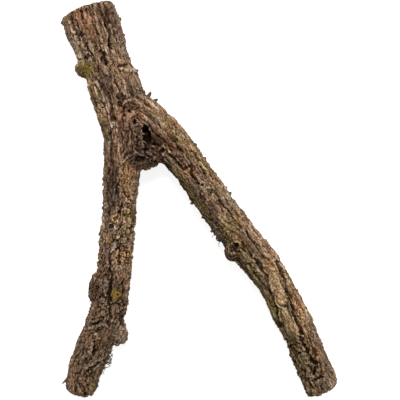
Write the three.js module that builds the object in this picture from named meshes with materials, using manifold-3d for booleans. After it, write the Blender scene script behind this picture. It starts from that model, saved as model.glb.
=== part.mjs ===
// A fallen, forked tree branch lying on the ground, in millimetres.
// +Z is up. +Y runs from the fork to the sawn end of the main stem, and the two limbs run towards -Y.
// The branch grew as one piece and is split at its main fork into three solids: the main stem, which
// keeps the swollen fork, and the two limbs. The origin is on the ground under the middle of its box.
import * as THREE from "three";
import { mergeVertices } from "three/addons/utils/BufferGeometryUtils.js";
import Module from "manifold-3d";

const wasm = await Module();
wasm.setup();

// Driving dimensions.
const SEGMENTS_ROUND = 24; // facets round a limb
const RING_PITCH = 9.5; // distance between two rings along a limb
const SHOULDER_RINGS = 3; // rings that round off the rim of a sawn end
const FORK_GAP = 0.3; // clearance between solids that meet at the fork
const GROUND = 0; // height of the ground, which the underside is worn flat against
const WAVINESS = 0.035; // how far the section strays from a circle, as a share of its radius

// Each station is [x, y, z, radius] on the centreline.
const STEM_STATIONS = [
  [-140.7, 238.2, 34, 35.8],
  [-133.2, 216, 36, 34.2],
  [-126, 195, 36.4, 31.8],
  [-120.5, 174, 36, 29.2],
  [-113, 153, 36.6, 31],
  [-105, 131, 38.6, 32.6],
  [-99, 108, 40.4, 31],
  [-97.5, 86, 40, 26],
  [-98.5, 66, 39, 20],
];
const LEFT_LIMB_STATIONS = [
  [-102, 118, 40, 22],
  [-97, 84, 39.4, 23.6],
  [-97.8, 46, 37, 24.2],
  [-100.6, 12, 33, 23.4],
  [-103, -28, 30, 22],
  [-107, -70, 28.5, 23.6],
  [-111, -108, 27, 23.2],
  [-117, -138, 26, 23.2],
  [-128, -170, 24, 22.6],
  [-141, -203, 21.4, 21.8],
  [-148.5, -227, 19, 20.4],
  [-154.6, -250.7, 18, 19],
];
const RIGHT_LIMB_STATIONS = [
  [-107, 142, 39, 22],
  [-87.5, 114.5, 40.4, 25.8],
  [-58.8, 91.2, 40, 27.8],
  [-30.4, 61.6, 38, 25.2],
  [-7.6, 33.2, 36.4, 23.2],
  [13.6, 2.8, 36, 23.2],
  [37.4, -29.2, 36, 23.2],
  [56.6, -55.4, 36, 23.4],
  [78, -82, 34, 21.4],
  [95.2, -110.4, 31, 20.8],
  [111.8, -140.8, 27.6, 21.8],
  [128, -173, 24, 22],
  [141.6, -204, 22, 22.8],
  [157.4, -246, 21.4, 22.4],
];

// Where the limbs are parted from the fork: a point on the plane and the way that the limb runs.
const LEFT_PARTING = { point: [-99.5, 28, 36], along: [-0.08, -1, -0.1] };
const RIGHT_PARTING = { point: [-29, 58, 38], along: [0.6, -0.8, -0.02] };
const CUTTER_LENGTH = 700;
const LEFT_CUTTER_REACH = 58; // half width, less than the way across to the right limb

// Swellings of the wood: [x, y, z] of the middle, the three half sizes, and the turn about Z in degrees.
const STEM_SWELLINGS = [
  { at: [-74.6, 72.4, 41], size: [37.6, 36.4, 29.5], turn: 0 }, // web that fills the crotch
  { at: [-92, 102, 48], size: [27, 25, 25], turn: 0 }, // knuckle above the crotch
  { at: [-144, 166, 40], size: [13, 14, 14], turn: 0 }, // bud collar under the lichen
];
const LEFT_SWELLINGS = [
  { at: [-122.4, -113.5, 27], size: [20.4, 28.5, 19], turn: -6 }, // burr on the outer side
  { at: [-118, -43, 29], size: [11, 15, 12], turn: 0 }, // small bud collar
];
const RIGHT_SWELLINGS = [
  { at: [46, -61.4, 40], size: [18.5, 14, 18], turn: 50 }, // collar round an old twig scar
];

// Broken side twig on the left limb, as stations like the ones above.
const STUB_STATIONS = [
  [-113, -140, 28, 15.5],
  [-107.4, -161, 28, 13],
  [-99, -182.6, 26, 9.4],
];

// Old rot hole in the fork, a slanting pocket.
const KNOT_HOLE = { at: [-66.5, 80, 66], size: [5, 11, 18], turn: 12, lean: 10 };

const toVector = (numbers) => new THREE.Vector3(...numbers);

// Unit vectors along a direction, level across it to the left, and up from it.
function axes(direction) {
  const forward = direction.clone().normalize();
  const side = new THREE.Vector3(0, 0, 1).cross(forward).normalize();
  const rise = new THREE.Vector3().crossVectors(forward, side);
  return { forward, side, rise };
}

// The section is not quite round, and its high sides wander as they run along the limb.
function waviness(angle, distance, seed) {
  const slow = distance / 46;
  return (
    WAVINESS *
    (Math.sin(2 * angle + 0.8 * slow + seed) +
      0.8 * Math.sin(3 * angle - 1.1 * slow + 2.3 * seed) +
      0.6 * Math.sin(5 * angle + 1.7 * slow + 4.1 * seed))
  );
}

// A log's outline for the lathe: x is a share of the radius, y the distance along the centreline.
function logProfile(length, shoulders) {
  const ring = (share, distance) => new THREE.Vector2(share, distance);
  const quarter = (i) => ((i / SHOULDER_RINGS) * Math.PI) / 2;
  const near = [];
  const far = [];
  for (let i = 0; i < SHOULDER_RINGS; i++) {
    const share = 1 - shoulders.share * (1 - Math.sin(quarter(i)));
    const inset = shoulders.depth * (1 - Math.cos(quarter(i)));
    near.push(ring(share, inset));
    far.unshift(ring(share, length - inset));
  }
  const barrels = Math.max(2, Math.round((length - 2 * shoulders.depth) / RING_PITCH));
  const middle = [];
  for (let i = 0; i <= barrels; i++) {
    const distance = shoulders.depth + ((length - 2 * shoulders.depth) * i) / barrels;
    middle.push(ring(1, distance));
  }
  return [ring(0, 0), ...near, ...middle, ...far, ring(0, length)];
}

// A log whose centreline and radius follow the stations: a lathed shape that is then bent.
function bentLog(stations, { shoulders, seed, facets = SEGMENTS_ROUND }) {
  const centreline = new THREE.CatmullRomCurve3(stations.map(([x, y, z]) => new THREE.Vector3(x, y, z)));
  const radii = new THREE.CatmullRomCurve3(stations.map((station) => new THREE.Vector3(station[3], 0, 0)));
  const length = centreline.getLength();
  const geometry = new THREE.LatheGeometry(logProfile(length, shoulders), facets);
  const position = geometry.getAttribute("position");
  for (let i = 0; i < position.count; i++) {
    const [x, distance, z] = [position.getX(i), position.getY(i), position.getZ(i)];
    const along = THREE.MathUtils.clamp(distance / length, 0, 1);
    const { side, rise } = axes(centreline.getTangentAt(along));
    const radius = radii.getPoint(centreline.getUtoTmapping(along)).x;
    const share = Math.hypot(x, z);
    const swelled = radius * (1 + share * waviness(Math.atan2(z, x), distance, seed));
    const point = centreline.getPointAt(along);
    point.addScaledVector(side, -x * swelled).addScaledVector(rise, z * swelled);
    position.setXYZ(i, point.x, point.y, point.z);
  }
  return geometry;
}

function swelling({ at, size, turn, lean = 0 }) {
  const geometry = new THREE.SphereGeometry(1, 18, 11);
  geometry.scale(...size);
  geometry.rotateX(THREE.MathUtils.degToRad(lean));
  geometry.rotateZ(THREE.MathUtils.degToRad(turn));
  geometry.translate(...at);
  return geometry;
}

// A closed three.js geometry as a manifold-3d solid.
function toSolid(geometry) {
  const bare = geometry.clone();
  bare.deleteAttribute("normal");
  bare.deleteAttribute("uv");
  const merged = mergeVertices(bare, 1e-3);
  return new wasm.Manifold(
    new wasm.Mesh({
      numProp: 3,
      vertProperties: new Float32Array(merged.getAttribute("position").array),
      triVerts: new Uint32Array(merged.index.array),
    }),
  );
}

function toGeometry(solid) {
  const mesh = solid.getMesh();
  const geometry = new THREE.BufferGeometry();
  geometry.setAttribute("position", new THREE.BufferAttribute(mesh.vertProperties, 3));
  geometry.setIndex(new THREE.BufferAttribute(mesh.triVerts, 1));
  const faceted = geometry.toNonIndexed();
  faceted.computeVertexNormals();
  return faceted;
}

const joined = (solids) => solids.reduce((whole, next) => whole.add(next));

// Everything beyond a parting plane, set back along the limb by the given distance.
function beyond({ point, along }, setBack, reach = CUTTER_LENGTH / 2) {
  const { forward, side, rise } = axes(toVector(along));
  const block = new THREE.BoxGeometry(2 * reach, CUTTER_LENGTH, CUTTER_LENGTH);
  block.translate(0, CUTTER_LENGTH / 2 + setBack, 0);
  block.applyMatrix4(new THREE.Matrix4().makeBasis(side.negate(), forward, rise));
  block.translate(...point);
  return toSolid(block);
}

function ground() {
  const slab = new THREE.BoxGeometry(CUTTER_LENGTH, CUTTER_LENGTH, CUTTER_LENGTH);
  slab.translate(0, 0, GROUND - CUTTER_LENGTH / 2);
  return toSolid(slab);
}

// The whole branch before it is parted: stem, limbs, swellings and stub, less the knot hole.
function wholeBranch() {
  const sawn = { share: 0.08, depth: 3 };
  const weathered = { share: 0.4, depth: 10 };
  const broken = { share: 0.3, depth: 3 };
  const wood = [
    bentLog(STEM_STATIONS, { shoulders: sawn, seed: 0.4 }),
    bentLog(LEFT_LIMB_STATIONS, { shoulders: weathered, seed: 1.7 }),
    bentLog(RIGHT_LIMB_STATIONS, { shoulders: weathered, seed: 2.9 }),
    bentLog(STUB_STATIONS, { shoulders: broken, seed: 0.9, facets: 12 }),
    ...[...STEM_SWELLINGS, ...LEFT_SWELLINGS, ...RIGHT_SWELLINGS].map(swelling),
  ];
  return joined(wood.map(toSolid)).subtract(toSolid(swelling(KNOT_HOLE))).subtract(ground());
}

function part() {
  const branch = wholeBranch();
  const leftSide = beyond(LEFT_PARTING, FORK_GAP / 2, LEFT_CUTTER_REACH);
  const leftClearance = beyond(LEFT_PARTING, -FORK_GAP / 2, LEFT_CUTTER_REACH);
  const leftLimb = branch.intersect(leftSide);
  const withoutLeft = branch.subtract(leftClearance);
  const rightLimb = withoutLeft.intersect(beyond(RIGHT_PARTING, FORK_GAP / 2));
  const mainStem = withoutLeft.subtract(beyond(RIGHT_PARTING, -FORK_GAP / 2));
  return { main_stem: mainStem, left_limb: leftLimb, right_limb: rightLimb };
}

const BARK = {
  main_stem: new THREE.MeshStandardMaterial({ color: "#7d6450", roughness: 0.95, metalness: 0 }),
  left_limb: new THREE.MeshStandardMaterial({ color: "#76604a", roughness: 0.95, metalness: 0 }),
  right_limb: new THREE.MeshStandardMaterial({ color: "#7b6750", roughness: 0.95, metalness: 0 }),
};

// The finished group, moved so that the origin lies on the ground under the middle of its box.
function assemble(solids) {
  const group = new THREE.Group();
  for (const [name, solid] of Object.entries(solids)) {
    const mesh = new THREE.Mesh(toGeometry(solid), BARK[name]);
    mesh.name = name;
    group.add(mesh);
  }
  const middle = new THREE.Box3().setFromObject(group).getCenter(new THREE.Vector3());
  group.position.set(-middle.x, -middle.y, 0);
  return group;
}

const branch = assemble(part());

export default branch;
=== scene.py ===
"""The looks of a fallen, forked tree branch, built round its CAD solids.

The bark is grown from copies of the three CAD solids: they are fused, remeshed finely, carved along the
grain and parted again at the fork. Lichen, flakes, chips and fibres are small pieces of their own.
Lengths are in millimetres until a mesh is written, and the object's frame is the CAD frame: +Z is up, +Y
runs towards the sawn end of the main stem, and the limbs run towards -Y.
"""

import logging
import math
from collections.abc import Sequence
from dataclasses import dataclass, field
from enum import Enum

import bmesh
import bpy
import numpy as np
from mathutils import Matrix, Vector
from mathutils.bvhtree import BVHTree


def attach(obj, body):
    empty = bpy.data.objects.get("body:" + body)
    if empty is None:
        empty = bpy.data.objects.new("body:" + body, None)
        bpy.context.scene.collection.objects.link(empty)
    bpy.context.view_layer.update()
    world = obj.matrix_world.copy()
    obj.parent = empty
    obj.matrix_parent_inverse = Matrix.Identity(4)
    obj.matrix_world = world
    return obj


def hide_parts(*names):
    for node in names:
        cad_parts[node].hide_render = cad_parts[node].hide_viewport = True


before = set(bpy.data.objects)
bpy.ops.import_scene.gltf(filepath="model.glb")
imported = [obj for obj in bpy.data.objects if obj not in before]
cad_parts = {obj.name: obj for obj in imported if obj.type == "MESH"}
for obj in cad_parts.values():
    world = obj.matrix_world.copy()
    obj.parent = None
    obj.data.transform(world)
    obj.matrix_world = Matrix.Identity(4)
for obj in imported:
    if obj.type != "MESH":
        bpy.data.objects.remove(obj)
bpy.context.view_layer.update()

log = logging.getLogger("branch")

MM = 0.001
BODY = "root"
Array = np.ndarray
Pair = tuple[float, float]


# ----------------------------------------
# Numbers over many points
# ----------------------------------------


def smoothstep(low: float, high: float, value: Array) -> Array:
    """A soft step from 0 to 1.

    Args:
        low: Where the step starts; it may be above high, for a falling step.
        high: Where the step ends.
        value: The values to step.

    Returns:
        0 before low, 1 after high, and a smooth rise between them.
    """
    share = np.clip((value - low) / (high - low), 0.0, 1.0)
    return share * share * (3.0 - 2.0 * share)


def unit(vectors: Array) -> Array:
    """Rows scaled to length one."""
    return vectors / np.maximum(np.linalg.norm(vectors, axis=-1, keepdims=True), 1e-9)


@dataclass(frozen=True)
class Cells:
    """Cell noise: how far each point is from its cell's middle and from its edge, and the cell's own
    value from 0 to 1 and slope from about -1 to 1."""

    middle: Array
    edge: Array
    value: Array
    tilt: Array


class Noise:
    """Seeded gradient noise and cell noise over rows of points."""

    TABLE = 256

    def __init__(self, seed: int) -> None:
        """Draws the tables.

        Args:
            seed: The same seed always gives the same noise.
        """
        draw = np.random.default_rng(seed)
        self._order = draw.permutation(self.TABLE).astype(np.int32)
        self._slopes = unit(draw.normal(size=(self.TABLE, 3))).astype(np.float32)
        self._places = draw.random((self.TABLE, 3)).astype(np.float32)
        self._values = draw.random(self.TABLE).astype(np.float32)

    def _entry(self, corner: Array) -> Array:
        """Looks the corners up in the shuffled table.

        Args:
            corner: Rows of three whole numbers.

        Returns:
            A number below TABLE for each row.
        """
        last = self.TABLE - 1
        entry = self._order[corner[:, 0] & last]
        entry = self._order[(entry + corner[:, 1]) & last]
        return self._order[(entry + corner[:, 2]) & last]

    def swell(self, points: Array) -> Array:
        """Gradient noise.

        Args:
            points: Rows of x, y, z, with one bump to about every unit.

        Returns:
            A value from about -1 to 1 for each row.
        """
        base = np.floor(points)
        inside = (points - base).astype(np.float32)
        base = base.astype(np.int32)
        ease = inside**3 * (inside * (inside * 6 - 15) + 10)
        total = np.zeros(len(points), np.float32)
        for step in np.ndindex(2, 2, 2):
            corner = np.array(step, np.int32)
            slope = self._slopes[self._entry(base + corner)]
            weight = np.prod(np.where(corner == 1, ease, 1 - ease), axis=1)
            total += weight * np.einsum("ij,ij->i", slope, inside - corner)
        return total * 1.7

    def layers(self, points: Array, count: int, gain: float = 0.5) -> Array:
        """Gradient noise in octaves.

        Args:
            points: Rows of x, y, z.
            count: How many octaves, each twice as fine as the last.
            gain: The height of each octave against the last.

        Returns:
            A value from about -1 to 1 for each row.
        """
        total = np.zeros(len(points), np.float32)
        reach = 0.0
        for octave in range(count):
            total += gain**octave * self.swell(points * 2.0**octave + 7.3 * octave)
            reach += gain**octave
        return total / reach

    def drift(self, points: Array) -> Array:
        """Three noises at once, to push points about with."""
        return np.stack([self.swell(points + shift) for shift in (0.0, 31.7, 83.1)], axis=1)

    def cells(self, points: Array) -> Cells:
        """Cell noise.

        Args:
            points: Rows of x, y, z, with one cell to about every unit.

        Returns:
            The cell that each point is in.
        """
        base = np.floor(points)
        inside = (points - base).astype(np.float32)
        base = base.astype(np.int32)
        first = np.full(len(points), 9.0, np.float32)
        second = first.copy()
        value = np.zeros(len(points), np.float32)
        tilt = np.zeros(len(points), np.float32)
        for step in np.ndindex(3, 3, 3):
            corner = np.array(step, np.int32) - 1
            entry = self._entry(base + corner)
            gap = corner + self._places[entry] - inside
            distance = np.einsum("ij,ij->i", gap, gap)
            closer = distance < first
            second = np.where(closer, first, np.minimum(second, distance))
            value = np.where(closer, self._values[entry], value)
            tilt = np.where(closer, np.einsum("ij,ij->i", gap, self._slopes[entry]), tilt)
            first = np.minimum(first, distance)
        middle = np.sqrt(first)
        return Cells(middle, np.sqrt(second) - middle, value, tilt)


# ----------------------------------------
# The grain
# ----------------------------------------

# Each station is x, y, z and radius on the centreline that the grain follows.
STEM_STATIONS = (
    (-139.6, 238.3, 33.8, 35.6),
    (-133.1, 218.3, 36, 34.8),
    (-126.6, 197.3, 36.4, 32.6),
    (-120.1, 176.3, 36, 30.6),
    (-112.6, 155.3, 36.6, 31),
)
LEFT_STATIONS = STEM_STATIONS + (
    (-105.1, 133.3, 38.6, 31),
    (-99.6, 110.3, 40, 28),
    (-98.1, 86.3, 39.4, 25.4),
    (-98.6, 48.3, 37, 23.8),
    (-101.1, 14.3, 33, 22.4),
    (-103.6, -25.7, 30, 21.6),
    (-106.6, -67.7, 28.5, 22.6),
    (-110.6, -105.7, 27, 23.2),
    (-116.6, -135.7, 26, 23.2),
    (-127.6, -167.7, 24, 22.6),
    (-141.6, -199.7, 21.4, 21.4),
    (-148.6, -223.7, 18.6, 20),
    (-151.6, -246.7, 17.6, 18.8),
)
RIGHT_STATIONS = STEM_STATIONS + (
    (-102.1, 136.3, 39, 31),
    (-85.6, 118.3, 40.4, 29),
    (-58.6, 93.3, 40, 27),
    (-30.6, 63.3, 38, 23.6),
    (-7.6, 35.3, 36.4, 22),
    (14.4, 5.3, 36, 22.8),
    (38.4, -26.7, 36, 22.6),
    (57.4, -52.7, 36, 23.4),
    (78.4, -79.7, 34, 21.4),
    (96.4, -107.7, 31, 20.4),
    (113.4, -137.7, 27.6, 20.6),
    (129.4, -169.7, 24, 20.8),
    (143.4, -200.7, 20.8, 21.4),
    (156.4, -236.7, 19.6, 20.6),
)


@dataclass(frozen=True)
class Unrolled:
    """Points seen along the grain: across, up and along in millimetres, and how far out they lie."""

    across: Array
    share: Array


class GrainPath:
    """The centreline of the stem and one limb."""

    STEP = 1.0
    CHUNK = 20000

    def __init__(self, stations: Sequence[tuple[float, float, float, float]]) -> None:
        """Runs a smooth curve through the stations.

        Args:
            stations: x, y, z and radius of each station, from the sawn end to a limb's tip.
        """
        dense = self._curve(np.array(stations, float))
        hops = np.linalg.norm(np.diff(dense[:, :3], axis=0), axis=1)
        arc = np.concatenate([[0.0], np.cumsum(hops)])
        self.arc = np.arange(0.0, arc[-1], self.STEP)
        spaced = np.stack([np.interp(self.arc, arc, dense[:, i]) for i in range(4)], axis=1)
        self.middle = spaced[:, :3]
        self.radius = spaced[:, 3]
        self.forward = unit(np.gradient(self.middle, axis=0))
        self.side = unit(np.cross((0.0, 0.0, 1.0), self.forward))
        self.rise = np.cross(self.forward, self.side)

    @staticmethod
    def _curve(stations: Array, pieces: int = 40) -> Array:
        """Draws a Catmull-Rom curve through the stations.

        Args:
            stations: Rows that the curve passes through.
            pieces: How many points there are from one station to the next.

        Returns:
            Rows like the stations, close together.
        """
        ends = [2 * stations[0] - stations[1], *stations, 2 * stations[-1] - stations[-2]]
        t = np.linspace(0, 1, pieces, endpoint=False)[:, None]
        spans = []
        for a, b, c, d in zip(ends, ends[1:], ends[2:], ends[3:]):
            bend = (2 * a - 5 * b + 4 * c - d) * t**2 + (3 * b - a - 3 * c + d) * t**3
            spans.append(b + 0.5 * ((c - a) * t + bend))
        return np.concatenate([*spans, stations[-1:]])

    def unroll(self, points: Array) -> Unrolled:
        """Places points along the grain.

        Args:
            points: Rows of x, y, z in millimetres.

        Returns:
            Where they lie across, above and along the centreline, and their distance out as a share of
            the radius.
        """
        nearest = np.empty(len(points), np.int64)
        half_square = 0.5 * np.einsum("ij,ij->i", self.middle, self.middle)
        for start in range(0, len(points), self.CHUNK):
            part = slice(start, start + self.CHUNK)
            nearest[part] = np.argmin(half_square - points[part] @ self.middle.T, axis=1)
        offset = points - self.middle[nearest]
        along = np.einsum("ij,ij->i", offset, self.forward[nearest])
        side = np.einsum("ij,ij->i", offset, self.side[nearest])
        rise = np.einsum("ij,ij->i", offset, self.rise[nearest])
        across = np.stack([side, rise, self.arc[nearest] + along], axis=1)
        return Unrolled(across, np.hypot(side, rise) / self.radius[nearest])


class Grain:
    """The grain of the whole branch: two paths that part at the fork."""

    BLEND = 0.3

    def __init__(self) -> None:
        """Builds both paths."""
        self.left = GrainPath(LEFT_STATIONS)
        self.right = GrainPath(RIGHT_STATIONS)

    def follow(self, points: Array) -> tuple[Unrolled, Unrolled, Array]:
        """Unrolls points along both paths.

        Args:
            points: Rows of x, y, z in millimetres.

        Returns:
            The points along the left path, along the right path, and the right path's share of each.
        """
        left = self.left.unroll(points)
        right = self.right.unroll(points)
        share = smoothstep(-self.BLEND, self.BLEND, left.share - right.share)
        same = np.abs(left.across - right.across).max(axis=1) < 0.02
        return left, right, np.where(same, 0.0, share)


# ----------------------------------------
# Marks on the bark
# ----------------------------------------


class Tone(Enum):
    """The colours that lie in patches over the bark; one of them is painted shade, for cracks, pits, the
    knot hole and a few shaded edges.
    """

    RUST = "rust"
    OCHRE = "ochre"
    OLIVE = "olive"
    PLUM = "plum"
    TAN = "tan"
    PAINTED_SHADE = "soot"
    # painted shade in cracks, pits, the knot hole and along a few shaded edges
    MUSTARD = "mustard"
    UMBER = "umber"

    @property
    def attribute(self) -> str:
        """The name of the mesh attribute that holds how much of the tone there is."""
        return "tone_" + self.value


Line = tuple[Pair, ...]


@dataclass(frozen=True)
class Stroke:
    """A ridge, a furrow or a band of colour along a line on the upper side.

    Places are x and y in millimetres. A positive height is a ridge and a negative one a furrow.
    """

    points: Line
    width: float
    height: float = 0.0
    tone: Tone | None = None
    strength: float = 1.0

    def share(self, places: Array) -> Array:
        """How much of the stroke each place gets; it tapers towards both ends.

        Args:
            places: Rows of x and y in millimetres.

        Returns:
            A share from 0 to 1 for each row.
        """
        line = np.array(self.points, float)
        lengths = np.linalg.norm(np.diff(line, axis=0), axis=1)
        starts = np.concatenate([[0.0], np.cumsum(lengths)])
        nearest = np.full(len(places), 1e9)
        travelled = np.zeros(len(places))
        for begin, end, start, length in zip(line, line[1:], starts, lengths):
            way = (end - begin) / length
            along = np.clip((places - begin) @ way, 0.0, length)
            gap = np.linalg.norm(places - begin - along[:, None] * way, axis=1)
            closer = gap < nearest
            nearest = np.where(closer, gap, nearest)
            travelled = np.where(closer, start + along, travelled)
        taper = np.minimum(travelled, starts[-1] - travelled) / max(2.0 * self.width, 1.0)
        reach = self.width * (0.45 + 0.55 * np.sqrt(np.clip(taper, 0.0, 1.0)))
        return smoothstep(1.0, 0.4, nearest / reach)


@dataclass(frozen=True)
class Spot:
    """A bump, a pit or a patch of colour on the upper side, as an ellipse turned about the vertical."""

    at: Pair
    size: Pair
    turn: float = 0.0
    height: float = 0.0
    rim: float = 0.0
    tone: Tone | None = None
    strength: float = 1.0

    def radius(self, places: Array) -> Array:
        """How far out each place is.

        Args:
            places: Rows of x and y in millimetres.

        Returns:
            0 in the middle of the spot and 1 at its edge, for each row.
        """
        turn = math.radians(self.turn)
        x, y = (places - np.array(self.at)).T
        along = (x * math.cos(turn) + y * math.sin(turn)) / self.size[0]
        across = (y * math.cos(turn) - x * math.sin(turn)) / self.size[1]
        return np.hypot(along, across)

    def share(self, places: Array) -> Array:
        """How much of the spot each place gets, from 0 to 1."""
        return smoothstep(1.0, 0.45, self.radius(places))

    def lip(self, places: Array) -> Array:
        """How much of the raised rim each place gets, from 0 to 1."""
        return smoothstep(0.32, 0.0, np.abs(self.radius(places) - 1.08))


Mark = Stroke | Spot


def crack(points: Line, width: float, depth: float, strength: float = 0.8) -> Stroke:
    """A furrow along a line, darkened inside with painted shade."""
    return Stroke(points, width, -depth, Tone.PAINTED_SHADE, strength)


def pit(at: Pair, size: Pair, turn: float, depth: float, strength: float = 1.0) -> Spot:
    """A pit, darkened inside with painted shade."""
    return Spot(at, size, turn, -depth, tone=Tone.PAINTED_SHADE, strength=strength)


def stain(at: Pair, size: Pair, turn: float, tone: Tone, strength: float = 1.0) -> Spot:
    """A patch of colour that is neither raised nor sunk."""
    return Spot(at, size, turn, tone=tone, strength=strength)


PLAN_SCALE = 1.02  # the marks are laid out on a plan of the upper side that is this much larger
RUST, OCHRE, OLIVE, PLUM, TAN, PAINTED_SHADE, MUSTARD, UMBER = Tone

STEM_MARKS: tuple[Mark, ...] = (
    stain((-146, 231), (16, 19), 20, RUST),
    stain((-139, 220), (17, 13), 20, RUST, 0.9),
    Stroke(((-172, 232), (-165, 214), (-158, 196), (-152, 180)), 7.5, 1.4, TAN, 1.0),
    crack(((-166, 236), (-160, 217), (-151, 199)), 2.8, 3.0, 0.9),
    crack(((-157, 217), (-146, 201), (-136, 184)), 2.2, 2.6),
    crack(((-151, 241), (-146, 231)), 3.0, 2.6),
    Stroke(((-150, 207), (-141, 193), (-133, 180)), 5.0, 0.6, TAN, 0.5),
    crack(((-129, 253), (-126, 240), (-123, 226)), 6.5, 2.6, 0.85),
    crack(((-118, 249), (-116.5, 224), (-111.5, 211), (-114, 194)), 4.2, 3.6),
    crack(((-114.5, 207), (-112, 192)), 3.6, 3.4, 1.0),
    Stroke(((-112, 243), (-106, 224), (-101, 205)), 6.0, 1.4, PLUM, 0.9),
    crack(((-125, 192), (-122.5, 183), (-118, 173)), 4.2, 3.8, 1.0),
    Stroke(((-119.5, 193), (-117.5, 184), (-112, 174)), 3.2, 2.6, TAN, 1.0),
    Stroke(((-112, 193), (-105, 183), (-98, 174)), 3.0, 1.6, TAN, 0.9),
    pit((-97.5, 172), (6.5, 4.6), -20, 4.6),
    Stroke(((-100, 166), (-92, 167), (-82, 165)), 3.6, 3.2, TAN, 0.5),
    crack(((-152, 181), (-146, 183), (-137, 184)), 2.4, 1.8),
    Spot((-145, 167), (9, 12), 15, 0.8, tone=MUSTARD),
    stain((-134, 170), (6, 8), 0, MUSTARD, 0.5),
    Stroke(((-131, 176), (-123, 158), (-113, 138)), 9.0, -0.8, PLUM, 1.0),
    Stroke(((-129, 174), (-121, 158), (-112, 138)), 7.0, 0.0, UMBER, 0.5),
    Stroke(((-140, 152), (-132, 126), (-121, 100)), 10.0, 0.8, OLIVE, 0.35),
    Stroke(((-140, 152), (-132, 126), (-121, 100)), 10.0, 0.0, TAN, 0.9),
    Stroke(((-142, 148), (-134, 122), (-124, 100)), 3.0, 1.4, TAN, 0.9),
    crack(((-133, 152), (-125, 129), (-116, 102)), 2.4, 2.6, 0.7),
    Stroke(((-108, 170), (-100, 150), (-95, 132)), 10.0, 0.8, TAN, 0.9),
    crack(((-109, 161), (-104, 147), (-100, 137)), 2.0, 2.2, 0.7),
    crack(((-92, 158), (-86, 143), (-82, 131)), 4.5, 2.0, 0.6),
    crack(((-129, 118), (-119, 119)), 1.8, 2.2, 0.7),
    crack(((-123, 105), (-114, 108)), 1.8, 2.2, 0.7),
)

FORK_MARKS: tuple[Mark, ...] = (
    stain((-72, 68), (34, 32), -15, UMBER),
    stain((-76, 60), (24, 22), 0, PLUM),
    stain((-84, 92), (30, 46), -10, PLUM, 0.45),
    stain((-58, 78), (15, 17), 0, PAINTED_SHADE, 0.6),
    stain((-90, 113), (26, 15), -20, RUST, 0.7),
    stain((-92, 112), (24, 17), -20, UMBER, 0.6),
    crack(((-128, 151), (-117, 135), (-112, 122), (-110.5, 108), (-108, 102)), 3.2, 3.6, 0.9),
    pit((-108, 103), (5.5, 5.5), 0, 3.4),
    pit((-98, 132), (8, 5.5), -35, 4.2),
    pit((-100.5, 123.5), (3.6, 5.5), 0, 3.6),
    Stroke(
        ((-98, 123), (-92, 126.5), (-86, 128.5), (-80, 126.5), (-75, 122), (-73, 117)),
        3.6,
        3.4,
        RUST,
        0.7,
    ),
    Stroke(((-105, 119), (-104, 111), (-100, 105)), 3.6, 2.6, RUST, 0.9),
    Spot((-101.4, 114), (5.5, 7), 0, 2.4, tone=RUST, strength=1.0),
    Spot((-87, 116), (14, 10), -15, 1.0, tone=RUST, strength=0.8),
    pit((-93.6, 118.6), (3.0, 2.2), 20, 4.4),
    pit((-83.4, 119.2), (3.4, 2.0), -30, 4.0),
    pit((-88, 114), (2.4, 3.0), 0, 4.0),
    pit((-94.6, 108.4), (3.6, 2.6), 40, 4.4),
    pit((-77.6, 117.5), (2.6, 2.2), 30, 3.2),
    Stroke(((-88, 107), (-78.5, 113.5), (-73, 109), (-67, 100.5)), 3.8, 3.0, TAN, 0.8),
    Stroke(((-77, 112), (-71, 106), (-67, 100)), 2.8, 1.0, OCHRE, 0.8),
    pit((-81, 99), (4.8, 3.4), -25, 5.0),
    Spot((-62.5, 92), (2.6, 3.0), 20, 3.6),
    Spot((-72.5, 84), (3.0, 2.4), 0, 3.0),
    Spot((-61.5, 80), (2.4, 3.4), -20, 3.0),
    Spot((-70, 74), (3.4, 2.2), 15, 2.6),
    crack(((-66, 72), (-60, 70), (-57, 76)), 2.6, 3.0, 0.9),
    crack(((-64, 96), (-56, 88), (-50, 78)), 2.2, 2.2, 0.6),
    Spot((-79.5, 96.5), (1.6, 1.5), 0, 2.6, tone=TAN, strength=1.0),
    pit((-97.2, 103), (2.4, 5.5), 5, 4.0),
    Stroke(((-105, 97), (-106, 78), (-103, 60), (-100, 44)), 5.6, 1.8, RUST, 0.5),
    Stroke(((-105, 94), (-105.5, 76), (-103, 60)), 3.6, 0.8, TAN, 0.6),
    crack(((-114, 88), (-114, 66), (-113.5, 44)), 3.2, 2.8),
    crack(((-97, 92), (-98, 76), (-96, 62)), 2.0, 2.0, 0.6),
    pit((-67, 85), (5, 12), 14, 3.6, 0.85),
    pit((-65, 78), (8.5, 8.5), 0, 3.2, 0.7),
    Stroke(((-74, 90), (-75, 80), (-70, 70), (-65, 66)), 2.4, 2.2, TAN, 0.5),
    pit((-76.5, 52), (9, 8), 10, 5.0, 0.95),
    Stroke(((-97, 49), (-92, 54), (-87, 60), (-82, 62), (-71, 60.5), (-68, 56)), 2.8, 3.0, TAN, 0.3),
    crack(((-68.2, 69), (-68.2, 57)), 2.4, 3.6, 0.9),
    crack(((-86, 66), (-86, 84), (-88, 95)), 1.8, 1.8, 0.6),
    crack(((-79, 68), (-78, 84)), 1.8, 1.8, 0.6),
    pit((-54, 73), (8, 6), -30, 2.0, 0.8),
    Stroke(((-58, 70), (-52, 64), (-52, 57)), 2.2, 2.8, TAN, 0.5),
    Stroke(((-50, 72), (-45, 66), (-44, 58)), 2.2, 2.8, TAN, 0.6),
    pit((-47, 63), (3.0, 5.0), 10, 3.4, 0.9),
    Spot((-50, 88), (7, 4.5), -35, 2.4, tone=RUST, strength=0.7),
    Spot((-59, 62), (6, 5), 0, 2.0, tone=PLUM, strength=0.6),
    Stroke(((-63, 121), (-40, 100), (-24, 84)), 12, 0.6, TAN, 0.8),
    Stroke(((-56, 104), (-41, 93), (-30, 80)), 5.0, 0.6, OLIVE, 0.3),
    Spot((-31, 71), (5.5, 9), -10, 1.4, tone=RUST, strength=0.9),
    pit((-58, 47), (13, 5), 20, 1.2, 0.6),
)

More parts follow.
